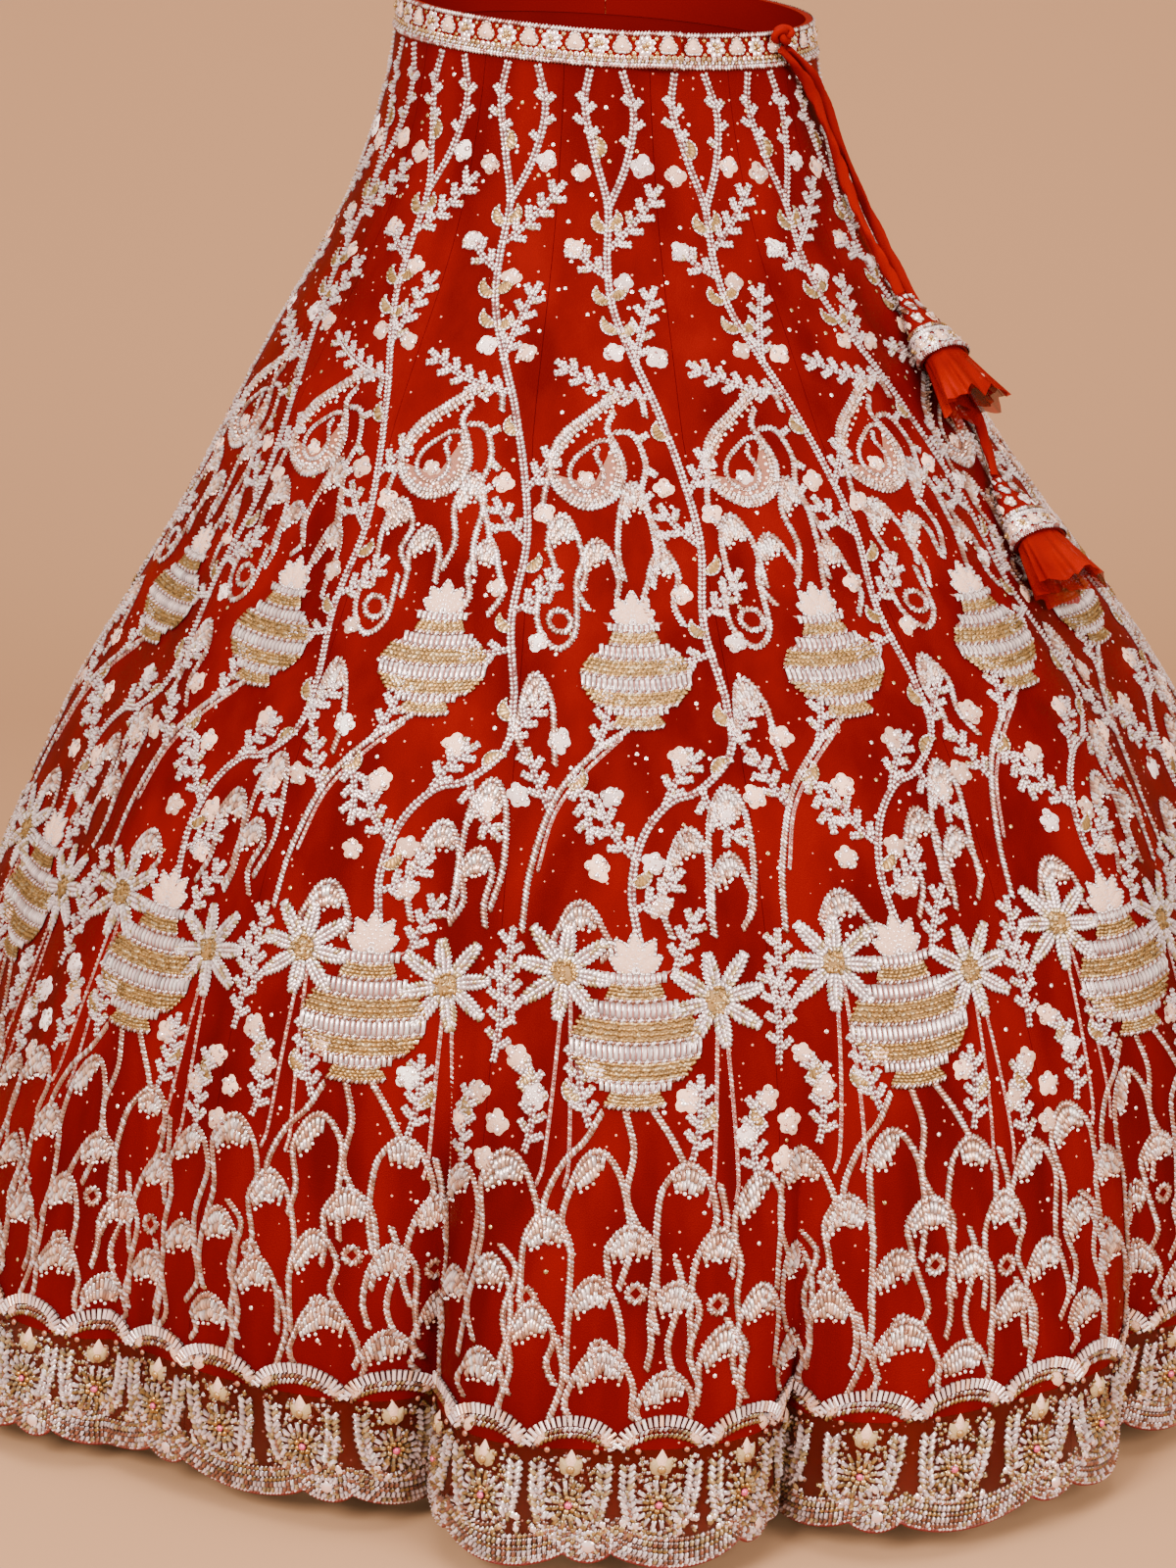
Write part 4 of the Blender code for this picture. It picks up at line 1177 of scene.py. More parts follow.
@dataclass(frozen=True)
class NetCloth(Finish):
    """Fine red net: hexagonal holes, painted shade of soft folds in vertical streaks, and a strewing of
    glitter dots.
    """

    # Dark and light reds of the painted fold shade.
    dark: tuple = (0.052, 0.0001, 0.0001)
    light: tuple = (0.100, 0.0003, 0.0001)
    fold_shade_scale: float = 22.0
    weave_scale: float = 620.0
    glitter_scale: float = 150.0

    def pattern(self, sketch: NodeSketch, shader: bpy.types.Node) -> None:
        """Adds broad painted fold shade, the net's threads and the glitter."""
        place = self.object_space(sketch)
        # Painted fold shade: noise drawn out down the skirt mixes the dark and light reds.
        drawn_out = sketch.add("ShaderNodeVectorMath", operation="MULTIPLY", input_1=(1.0, 1.0, 0.13))
        sketch.link(place, drawn_out.inputs[0])
        broad = sketch.add("ShaderNodeTexNoise")
        broad.inputs["Scale"].default_value = self.fold_shade_scale
        broad.inputs["Detail"].default_value = 3.0
        sketch.link(drawn_out.outputs[0], broad.inputs["Vector"])
        ramp = sketch.add("ShaderNodeMapRange", input_1=0.34, input_2=0.68)
        sketch.link(broad.outputs["Fac"], ramp.inputs["Value"])
        ground = self.mix_colours(sketch, ramp.outputs["Result"], self.dark, self.light)
        net = sketch.add("ShaderNodeTexVoronoi", feature="DISTANCE_TO_EDGE")
        net.inputs["Scale"].default_value = self.weave_scale
        sketch.link(place, net.inputs["Vector"])
        threads = sketch.add("ShaderNodeMapRange", input_1=0.0, input_2=0.18, input_3=1.0, input_4=0.0)
        sketch.link(net.outputs["Distance"], threads.inputs["Value"])
        self.bump(sketch, shader, threads.outputs["Result"], 0.35, 0.0003)
        dots = sketch.add("ShaderNodeTexVoronoi", feature="F1")
        dots.inputs["Scale"].default_value = self.glitter_scale
        sketch.link(place, dots.inputs["Vector"])
        near = sketch.add("ShaderNodeMath", operation="LESS_THAN", input_1=0.12)
        sketch.link(dots.outputs["Distance"], near.inputs[0])
        chosen = sketch.add("ShaderNodeSeparateColor")
        sketch.link(dots.outputs["Color"], chosen.inputs["Color"])
        few = sketch.add("ShaderNodeMath", operation="GREATER_THAN", input_1=0.55)
        sketch.link(chosen.outputs["Red"], few.inputs[0])
        both = sketch.add("ShaderNodeMath", operation="MULTIPLY")
        sketch.link(near.outputs[0], both.inputs[0])
        sketch.link(few.outputs[0], both.inputs[1])
        glitter = sketch.add("ShaderNodeMix", data_type="RGBA")
        sketch.link(both.outputs[0], glitter.inputs["Factor"])
        sketch.link(ground.outputs[2], glitter.inputs[6])
        glitter.inputs[7].default_value = (0.50, 0.19, 0.13, 1.0)
        sketch.link(glitter.outputs[2], shader.inputs["Base Color"])


@dataclass(frozen=True)
class WovenCloth(Finish):
    """Plain or satin cloth: broad shade in its colour and a fine weave in its bump."""

    dark: tuple = (0.08, 0.0, 0.0)
    weave_scale: float = 900.0
    depth: float = 0.25

    def pattern(self, sketch: NodeSketch, shader: bpy.types.Node) -> None:
        """Adds broad shade and the weave."""
        place = self.object_space(sketch)
        broad = sketch.add("ShaderNodeTexNoise")
        broad.inputs["Scale"].default_value = 14.0
        sketch.link(place, broad.inputs["Vector"])
        ground = self.mix_colours(sketch, broad.outputs["Fac"], self.dark, self.colour)
        sketch.link(ground.outputs[2], shader.inputs["Base Color"])
        weave = sketch.add("ShaderNodeTexNoise")
        weave.inputs["Scale"].default_value = self.weave_scale
        weave.inputs["Detail"].default_value = 1.0
        sketch.link(place, weave.inputs["Vector"])
        self.bump(sketch, shader, weave.outputs["Fac"], self.depth, 0.0004)


@dataclass(frozen=True)
class Backdrop(Finish):
    """A plain paper backdrop with the faintest mottling, clear from behind for views of the back."""

    def pattern(self, sketch: NodeSketch, shader: bpy.types.Node) -> None:
        """Adds the mottling."""
        noise = sketch.add("ShaderNodeTexNoise")
        noise.inputs["Scale"].default_value = 3.0
        sketch.link(self.object_space(sketch), noise.inputs["Vector"])
        darker = tuple(c * 0.97 for c in self.colour)
        mix = self.mix_colours(sketch, noise.outputs["Fac"], darker, self.colour)
        sketch.link(mix.outputs[2], shader.inputs["Base Color"])
        geometry = sketch.add("ShaderNodeNewGeometry")
        front = sketch.add("ShaderNodeMath", operation="SUBTRACT", input_0=1.0)
        sketch.link(geometry.outputs["Backfacing"], front.inputs[1])
        sketch.link(front.outputs[0], shader.inputs["Alpha"])


class Wardrobe:
    """Every finish of the skirt, each built once."""

    def __init__(self) -> None:
        """Builds the materials."""
        red_gleam = (1.0, 0.10, 0.05)
        net = {"roughness": 0.62, "specular": 0.12, "gleam": red_gleam}
        # Each net's dark and light reds are painted fold shade.
        self.net = NetCloth("red_net", RED, **net).build()
        self.sheer = NetCloth("sheer_red_net", RED, alpha=0.36, dark=(0.060, 0.002, 0.0012),
            light=(0.10, 0.004, 0.002), **net).build()
        satin = {"specular": 0.35, "gleam": red_gleam}
        self.satin = WovenCloth("satin_lining", (0.105, 0.0006, 0.0003), 0.40, dark=(0.070, 0.0003, 0.0002),
            **satin).build()
        self.band = WovenCloth("band_cloth", (0.12, 0.0008, 0.0004), 0.6, dark=(0.085, 0.0004, 0.0002),
            specular=0.1, gleam=red_gleam).build()
        dori = {"dark": (0.10, 0.0008, 0.0003), "depth": 0.5, "specular": 0.08, "gleam": red_gleam}
        self.dori = WovenCloth("dori_cloth", (0.185, 0.002, 0.0007), 0.6, **dori).build()
        tulle = {"dark": (0.13, 0.0012, 0.0004), "light": (0.23, 0.005, 0.0012), "glitter_scale": 60.0}
        self.tulle = NetCloth("tassel_net", RED, 0.6, alpha=0.80, specular=0.05, gleam=red_gleam,
            **tulle).build()
        self.thread = Tinted("couched_thread", roughness=0.55, grain=0.8, specular=0.3).build()
        # Rice, bugle and dabka beads get painted shade at their base, down to this share of their tint.
        self.glass = Tinted("glass_beads", roughness=0.20, metallic=0.42, coat=0.4, underside=0.22).build()
        self.dabka = Tinted("coiled_gold_wire", roughness=0.34, metallic=0.65, underside=0.45).build()
        self.pearl = Tinted("pearls", roughness=0.22, metallic=0.30, coat=0.6).build()
        self.mirror = Tinted("sequins", roughness=0.16, metallic=0.70).build()


@dataclass
class BeadTree:
    """Geometry nodes that sew a bead on every point of a mesh, by the point's own attributes."""

    wardrobe: Wardrobe
    fullness: float = 1.0
    unevenness: float = 0.08
    seed: int = 7
    tree: bpy.types.NodeTree = field(init=False)

    def __post_init__(self) -> None:
        """Builds the tree."""
        self.tree = bpy.data.node_groups.new("bead_sewing", "GeometryNodeTree")
        face = self.tree.interface
        face.new_socket("Stitches", in_out="INPUT", socket_type="NodeSocketGeometry")
        for name, kind in (("Fullness", "Float"), ("Unevenness", "Float"), ("Seed", "Int")):
            face.new_socket(name, in_out="INPUT", socket_type=f"NodeSocket{kind}")
        for bead in Bead:
            face.new_socket(f"{bead.name.title()} finish", in_out="INPUT", socket_type="NodeSocketMaterial")
        face.new_socket("Beads", in_out="OUTPUT", socket_type="NodeSocketGeometry")
        self.wire(NodeSketch(self.tree))

    def wire(self, sketch: NodeSketch) -> None:
        """Wires the tree."""
        source = sketch.add("NodeGroupInput")
        out = sketch.add("GeometryNodeInputNamedAttribute", data_type="FLOAT_VECTOR", input_0="out")
        along = sketch.add("GeometryNodeInputNamedAttribute", data_type="FLOAT_VECTOR", input_0="along")
        size = sketch.add("GeometryNodeInputNamedAttribute", data_type="FLOAT_VECTOR", input_0="size")
        kind = sketch.add("GeometryNodeInputNamedAttribute", data_type="INT", input_0="kind")
        turn = sketch.add("FunctionNodeAxesToRotation", primary_axis="Z", secondary_axis="X")
        sketch.link(out.outputs["Attribute"], turn.inputs["Primary Axis"])
        sketch.link(along.outputs["Attribute"], turn.inputs["Secondary Axis"])
        least = sketch.add("ShaderNodeMath", operation="SUBTRACT", input_0=1.0)
        most = sketch.add("ShaderNodeMath", operation="ADD", input_0=1.0)
        sketch.link(source.outputs["Unevenness"], least.inputs[1])
        sketch.link(source.outputs["Unevenness"], most.inputs[1])
        chance = sketch.add("FunctionNodeRandomValue", data_type="FLOAT")
        sketch.link(least.outputs[0], chance.inputs[2])
        sketch.link(most.outputs[0], chance.inputs[3])
        sketch.link(source.outputs["Seed"], chance.inputs["Seed"])
        factor = sketch.add("ShaderNodeMath", operation="MULTIPLY")
        sketch.link(chance.outputs[1], factor.inputs[0])
        sketch.link(source.outputs["Fullness"], factor.inputs[1])
        scale = sketch.add("ShaderNodeVectorMath", operation="SCALE")
        sketch.link(size.outputs["Attribute"], scale.inputs[0])
        sketch.link(factor.outputs[0], scale.inputs["Scale"])
        joined = sketch.add("GeometryNodeJoinGeometry")
        for bead in Bead:
            same = sketch.add("FunctionNodeCompare", data_type="INT", operation="EQUAL")
            same.inputs[3].default_value = int(bead)
            sketch.link(kind.outputs["Attribute"], same.inputs[2])
            sewn = sketch.add("GeometryNodeInstanceOnPoints")
            sketch.link(source.outputs["Stitches"], sewn.inputs["Points"])
            sketch.link(same.outputs[0], sewn.inputs["Selection"])
            sketch.link(self.shape(sketch, bead), sewn.inputs["Instance"])
            sketch.link(turn.outputs["Rotation"], sewn.inputs["Rotation"])
            sketch.link(scale.outputs[0], sewn.inputs["Scale"])
            real = sketch.add("GeometryNodeRealizeInstances")
            sketch.link(sewn.outputs["Instances"], real.inputs["Geometry"])
            dressed = sketch.add("GeometryNodeSetMaterial")
            sketch.link(real.outputs["Geometry"], dressed.inputs["Geometry"])
            sketch.link(source.outputs[f"{bead.name.title()} finish"], dressed.inputs["Material"])
            sketch.link(dressed.outputs["Geometry"], joined.inputs["Geometry"])
        sink = sketch.add("NodeGroupOutput")
        sketch.link(joined.outputs["Geometry"], sink.inputs["Beads"])

    @staticmethod
    def shape(sketch: NodeSketch, bead: Bead) -> bpy.types.NodeSocket:
        """The bead's own mesh, one unit long, wide and high, on its underside.

        Args:
            sketch: Tree to add to.
            bead: Kind of bead.

        Returns:
            The socket with the mesh.
        """
        place = sketch.add("GeometryNodeTransform")
        if bead is Bead.BUGLE:
            mesh = sketch.add("GeometryNodeMeshCylinder", fill_type="NONE")
            mesh.inputs["Vertices"].default_value = 5
            mesh.inputs["Radius"].default_value = 0.5
            mesh.inputs["Depth"].default_value = 1.0
            place.inputs["Rotation"].default_value = (0.0, math.pi / 2, 0.0)
            place.inputs["Translation"].default_value = (0.0, 0.0, 0.5)
        elif bead is Bead.STONE:
            mesh = sketch.add("GeometryNodeMeshUVSphere")
            mesh.inputs["Segments"].default_value = 7
            mesh.inputs["Rings"].default_value = 4
            mesh.inputs["Radius"].default_value = 0.5
            place.inputs["Translation"].default_value = (0.0, 0.0, 0.3)
        else:
            sides = 4 if bead in (Bead.RICE, Bead.DABKA) else 6
            mesh = sketch.add("GeometryNodeMeshCone", fill_type="NONE")
            mesh.inputs["Vertices"].default_value = sides
            mesh.inputs["Radius Top"].default_value = 0.0
            mesh.inputs["Radius Bottom"].default_value = 0.5 / math.cos(math.pi / 4) if sides == 4 else 0.5
            mesh.inputs["Depth"].default_value = 1.0
            place.inputs["Rotation"].default_value = (0.0, 0.0, math.pi / sides)
        sketch.link(mesh.outputs["Mesh"], place.inputs["Geometry"])
        soft = sketch.add("GeometryNodeSetShadeSmooth")
        sketch.link(place.outputs["Geometry"], soft.inputs["Geometry"])
        # Height in the bead, stored as `rise`, which the bead finishes use for painted shade at the base.
        spot = sketch.add("GeometryNodeInputPosition")
        parts = sketch.add("ShaderNodeSeparateXYZ")
        sketch.link(spot.outputs["Position"], parts.inputs["Vector"])
        risen = sketch.add("GeometryNodeStoreNamedAttribute", data_type="FLOAT", domain="POINT")
        risen.inputs["Name"].default_value = "rise"
        sketch.link(soft.outputs["Geometry"], risen.inputs["Geometry"])
        sketch.link(parts.outputs["Z"],
            next(socket for socket in risen.inputs if socket.name == "Value" and socket.enabled))
        return risen.outputs["Geometry"]

    def sew(self, name: str, rows: np.ndarray, points: np.ndarray, normals: np.ndarray,
            along: np.ndarray) -> bpy.types.Object:
        """Sews one piece's beads.

        Args:
            name: Name of the piece.
            rows: Needlework rows of the beads.
            points: Places of the beads on the worn cloth.
            normals: Directions out of the cloth.
            along: Directions of the beads' length.

        Returns:
            The beads as one plain mesh object.
        """
        mesh = bpy.data.meshes.new(f"{name}_stitches")
        mesh.from_pydata(points.tolist(), [], [])
        for attribute, values in (("out", normals), ("along", along), ("size", rows[:, 4:7])):
            mesh.attributes.new(attribute, "FLOAT_VECTOR", "POINT").data.foreach_set("vector",
                values.astype(np.float32).ravel())
        mesh.attributes.new("kind", "INT", "POINT").data.foreach_set("value", rows[:, 8].astype(np.int32))
        tint = np.concatenate([rows[:, 9:12], np.ones((len(rows), 1))], axis=1).astype(np.float32)
        mesh.attributes.new("tint", "FLOAT_COLOR", "POINT").data.foreach_set("color", tint.ravel())
        stitches = bpy.data.objects.new(f"{name}_stitches", mesh)
        bpy.context.scene.collection.objects.link(stitches)
        modifier = stitches.modifiers.new("beads", "NODES")
        modifier.node_group = self.tree
        finishes = {
            Bead.RICE: self.wardrobe.glass,
            Bead.DABKA: self.wardrobe.dabka,
            Bead.PEARL: self.wardrobe.pearl,
            Bead.SEQUIN: self.wardrobe.mirror,
            Bead.BUGLE: self.wardrobe.glass,
            Bead.STONE: self.wardrobe.pearl,
        }
        values = {"Fullness": self.fullness, "Unevenness": self.unevenness, "Seed": self.seed}
        values.update({f"{bead.name.title()} finish": finish for bead, finish in finishes.items()})
        for socket in self.tree.interface.items_tree:
            if socket.in_out == "INPUT" and socket.name in values:
                modifier[socket.identifier] = values[socket.name]
        evaluated = stitches.evaluated_get(bpy.context.evaluated_depsgraph_get())
        result = bpy.data.meshes.new_from_object(evaluated)
        bpy.data.objects.remove(stitches)
        for spare in ("out", "along", "size", "kind"):
            if spare in result.attributes:
                result.attributes.remove(result.attributes[spare])
        result.name = name
        piece = bpy.data.objects.new(name, result)
        bpy.context.scene.collection.objects.link(piece)
        return piece


@dataclass
class Embroiderer:
    """Lays flat needlework on the worn cloth and makes its meshes."""

    tree: BeadTree
    wardrobe: Wardrobe

    def lay(self, name: str, work: Needlework, place: object) -> list[bpy.types.Object]:
        """Makes the pieces of one panel's embroidery.

        Args:
            name: Name that the pieces start with.
            work: The flat needlework.
            place: Function from flat places to points and normals.

        Returns:
            The threadwork and the beads.
        """
        rows = np.concatenate(work.beads)
        flat = rows[:, 0] + 1j * rows[:, 1]
        way = rows[:, 2] + 1j * rows[:, 3]
        points, normals = place(flat)
        ahead, _ = place(flat + way * PROBE)
        back, _ = place(flat - way * PROBE)
        points = points + normals * rows[:, 7:8]
        beads = self.tree.sew(f"{name}_beads", rows, points, normals, ahead - back)
        return [self.threadwork(f"{name}_threadwork", work, place), beads]

    def threadwork(self, name: str, work: Needlework, place: object) -> bpy.types.Object:
        """Makes one mesh of the strips and pads.

        Args:
            name: Name of the piece.
            work: The flat needlework.
            place: Function from flat places to points and normals.

        Returns:
            The piece.
        """
        flats, lifts, faces, tints = [], [], [], []
        count = 0
        for points, way, widths, height, tint in work.strips:
            n = len(points)
            for side, lift in ((1.0, EDGE_LIFT), (0.0, height), (-1.0, EDGE_LIFT)):
                flats.append(points + 1j * way * widths * side / 2.0)
                lifts.append(np.full(n, lift))
            i = np.arange(n - 1)[:, None]
            for row in (0, n):
                faces.append(count + row + np.concatenate([i, i + n, i + n + 1, i + 1], axis=1))
            tints.append(np.tile(np.array(tint), (3 * n, 1)))
            count += 3 * n
        fans = []
        for outline, height, tint in work.pads:
            n = len(outline)
            centre = outline.mean()
            flats.append(np.concatenate([outline, centre + SHOULDER * (outline - centre), [centre]]))
            lifts.append(np.concatenate([np.full(n, EDGE_LIFT), np.full(n, height * SHOULDER_HEIGHT),
                [height]]))
            i = np.arange(n)[:, None]
            j = (i + 1) % n
            faces.append(count + np.concatenate([i, j, j + n, i + n], axis=1))
            fans.append(count + np.concatenate([i + n, j + n, np.full((n, 1), 2 * n)], axis=1))
            tints.append(np.tile(np.array(tint), (2 * n + 1, 1)))
            count += 2 * n + 1
        flat = np.concatenate(flats)
        points, normals = place(flat)
        points = points + normals * np.concatenate(lifts)[:, None]
        quads = np.concatenate(faces).tolist()
        triangles = np.concatenate(fans).tolist() if fans else []
        mesh = bpy.data.meshes.new(name)
        mesh.from_pydata(points.tolist(), [], quads + triangles)
        colour = np.concatenate([np.concatenate(tints), np.ones((count, 1))], axis=1).astype(np.float32)
        mesh.attributes.new("tint", "FLOAT_COLOR", "POINT").data.foreach_set("color", colour.ravel())
        mesh.materials.append(self.wardrobe.thread)
        mesh.shade_smooth()
        piece = bpy.data.objects.new(name, mesh)
        bpy.context.scene.collection.objects.link(piece)
        face_outwards(piece, normals)
        return piece


def face_outwards(piece: bpy.types.Object, normals: np.ndarray) -> None:
    """Turns round the faces that look into the cloth.

    Args:
        piece: The piece.
        normals: Directions out of the cloth at its vertices.
    """
    mesh = piece.data
    bm = bmesh.new()
    bm.from_mesh(mesh)
    bm.faces.ensure_lookup_table()
    wrong = []
    for face in bm.faces:
        out = Vector(normals[face.verts[0].index])
        if face.normal.dot(out) < 0.0:
            wrong.append(face)
    bmesh.ops.reverse_faces(bm, faces=wrong)
    bm.to_mesh(mesh)
    bm.free()


def new_piece(name: str, points: np.ndarray, faces: list, material: bpy.types.Material) -> bpy.types.Object:
    """A new object from points and faces.

    Args:
        name: Name of the piece.
        points: Places of its vertices.
        faces: Its faces.
        material: Its material.

    Returns:
        The object, shaded smooth.
    """
    mesh = bpy.data.meshes.new(name)
    mesh.from_pydata(np.asarray(points).tolist(), [], faces)
    mesh.materials.append(material)
    mesh.shade_smooth()
    piece = bpy.data.objects.new(name, mesh)
    bpy.context.scene.collection.objects.link(piece)
    return piece


def cloth_wall(name: str, outer: np.ndarray, inner: np.ndarray,
        material: bpy.types.Material) -> bpy.types.Object:
    """A closed wall of cloth between two sheets of points.

    Args:
        name: Name of the piece.
        outer: Outer sheet, as rows from the top down and columns from left to right.
        inner: Inner sheet.
        material: Its material.

    Returns:
        The piece.
    """
    rows, columns = outer.shape[:2]
    ids = np.arange(rows * columns).reshape(rows, columns)
    back = ids + rows * columns
    faces = np.stack([ids[:-1, :-1], ids[1:, :-1], ids[1:, 1:], ids[:-1, 1:]], axis=-1).reshape(-1,
        4).tolist()
    faces += np.stack([back[:-1, :-1], back[:-1, 1:], back[1:, 1:], back[1:, :-1]], axis=-1).reshape(-1,
        4).tolist()
    rim = np.concatenate([ids[0, :], ids[1:, -1], ids[-1, -2::-1], ids[-2::-1, 0]])
    shift = rows * columns
    faces += [(int(a), int(b), int(b) + shift, int(a) + shift) for a, b in zip(rim[:-1], rim[1:])]
    points = np.concatenate([outer.reshape(-1, 3), inner.reshape(-1, 3)])
    piece = new_piece(name, points, faces, material)
    piece.data.set_sharp_from_angle(angle=math.radians(60.0))
    return piece


@dataclass
class SkirtPanels:
    """The sixteen embroidered net kalis."""

    form: ClothForm
    wardrobe: Wardrobe
    embroiderer: Embroiderer
    wall: float = 0.0009
    band_height: float = 0.0245
    rows: int = 46
    columns_per_repeat: int = 12
    lining_share: float = 0.9142

    def build(self) -> None:
        """Builds every kali with its embroidery."""
        chart = FabricChart(self.form)
        for panel in range(16):
            self.kali(chart, panel)

    def kali(self, chart: FabricChart, panel: int) -> None:
        """One kali: its net and what is sewn on it."""
        name = f"kali_{panel + 1:02d}"
        scallops = Scallops()
        across = np.linspace(0.0, 1.0, 2 * self.columns_per_repeat + 1)
        top = chart.down_at((self.band_height + 0.0003) / self.form.drop)
        foot = chart.down_at(1.0)
        shares = np.linspace(0.0, 1.0, self.rows)
        start = chart.down_at(scallops.start_share)
        flats = []
        for share in shares:
            down = top + (foot - top) * share
            reach = max(0.0, (down - start) / (foot - start))
            half = float(chart.half_width(panel, down)) - 0.00015
            flats.append((2.0 * across - 1.0) * half - 1j * (down + scallops.hang(across) * reach))
        flat = np.array(flats)
        points, normals = chart.place(panel, flat)
        piece = cloth_wall(f"net_{name}", points, points - normals * self.wall, self.wardrobe.net)
        self.clear_below_lining(piece, points[..., 2], chart)
        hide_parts(name)
        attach(piece, BODY)
        work = Needlework(seed=panel + 11)
        KaliLayout(chart, panel, work).draw()
        sewn = self.embroiderer.lay(name, work, lambda z: chart.place(panel, z))
        for item in sewn:
            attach(item, BODY)
        beads = sum(len(rows) for rows in work.beads)
        LOG.info("%s: %d beads", name, beads)

    def clear_below_lining(self, piece: bpy.types.Object, heights: np.ndarray, chart: FabricChart) -> None:
        """Makes the net see-through where no lining backs it.

        Args:
            piece: The kali's net.
            heights: Heights of its outer points, by row and column.
            chart: The outer cloth.
        """
        piece.data.materials.append(self.wardrobe.sheer)
        rows, columns = heights.shape
        top = chart.down_at((self.band_height + 0.0003) / self.form.drop)
        foot = chart.down_at(1.0)
        edge = chart.down_at(self.lining_share)
        last_backed = (rows - 1) * (edge - top) / (foot - top)
        for polygon in piece.data.polygons:
            row = (polygon.vertices[0] % (rows * columns)) // columns
            if row >= last_backed:
                polygon.material_index = 1


@dataclass
class Lining:
    """The eight gores of the satin lining."""

    form: ClothForm
    wardrobe: Wardrobe
    clearance: float = 0.0021
    fall: float = 0.0035
    fall_share: float = 0.25
    wall: float = 0.0008
    last_share: float = 0.905
    rows: int = 34
    columns: int = 24

    def build(self) -> None:
        """Builds every gore."""
        chart = FabricChart(self.form, panels=8, lining=True)
        for panel in range(8):
            self.gore(chart, panel)

    def gore(self, chart: FabricChart, panel: int) -> None:
        """One gore, which hangs inside the net."""
        name = f"lining_{panel + 1:02d}"
        top = 0.0248 / self.form.drop
        foot = top + (1.0 - top) * self.last_share
        shares = np.linspace(top, foot, self.rows)
        column = (panel + np.linspace(0.0, 1.0, self.columns + 1)) * chart.columns
        row = shares * (chart.rows - 1) / chart.last_share
        grid = np.broadcast_arrays(row[:, None], column[None, :])
        points, normals = chart.read(*grid)
        fall = self.fall * np.minimum(1.0, (shares - top) / self.fall_share)
        skin = (self.clearance + fall)[:, None, None]
        outer = points - normals * skin
        piece = cloth_wall(f"satin_{name}", outer, outer - normals * self.wall, self.wardrobe.satin)
        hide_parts(name)
        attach(piece, BODY)


class Patch:
    """A surface that flat needlework can be laid on, with normals worked out from its points."""

    STEP = 0.0002

    def surface(self, flat: np.ndarray) -> np.ndarray:
        """Points of the surface at flat places."""
        raise NotImplementedError

    def place(self, flat: np.ndarray) -> tuple[np.ndarray, np.ndarray]:
        """Points and outward normals at flat places."""
        flat = np.asarray(flat, complex)
        across = self.surface(flat + self.STEP) - self.surface(flat - self.STEP)
        up = self.surface(flat + 1j * self.STEP) - self.surface(flat - 1j * self.STEP)
        normals = np.cross(across, up)
        normals /= np.maximum(np.linalg.norm(normals, axis=-1, keepdims=True), 1e-12)
        return self.surface(flat), normals


@dataclass
class BandPatch(Patch):
    """The face of one length of the waistband."""

    form: ClothForm
    node: str
    first: float
    last: float
    laps: bool = False
    face: float = 0.0006
    lap_lift: float = 0.0060
    ramp: tuple = (6.0, 12.5)
    height: float = 0.0245
    degrees: np.ndarray = field(init=False)
    run: np.ndarray = field(init=False)

    def __post_init__(self) -> None:
        """Measures the run along the band's middle."""
        self.degrees = np.arange(self.first, self.last + 0.25, 0.5)
        line = self.form.lifted(self.degrees,
            np.full(len(self.degrees), 0.5 * self.height / self.form.drop),
            self.lift(self.degrees) + self.face)
        self.run = np.concatenate([[0.0], np.cumsum(np.linalg.norm(np.diff(line, axis=0), axis=1))])

    def lift(self, degrees: np.ndarray) -> np.ndarray:
        """How far the band stands out where its end laps over the next length."""
        if not self.laps:
            return np.zeros(np.shape(degrees))
        share = np.clip((np.asarray(degrees) - self.ramp[0]) / (self.ramp[1] - self.ramp[0]), 0.0, 1.0)
        return self.lap_lift * share * share * (3.0 - 2.0 * share)

    def surface(self, flat: np.ndarray) -> np.ndarray:
        """Points of the band's face at (along the band, down from its top as a negative)."""
        degrees = np.interp(flat.real, self.run, self.degrees)
        return self.form.lifted(degrees, -flat.imag / self.form.drop, self.face + self.lift(degrees))


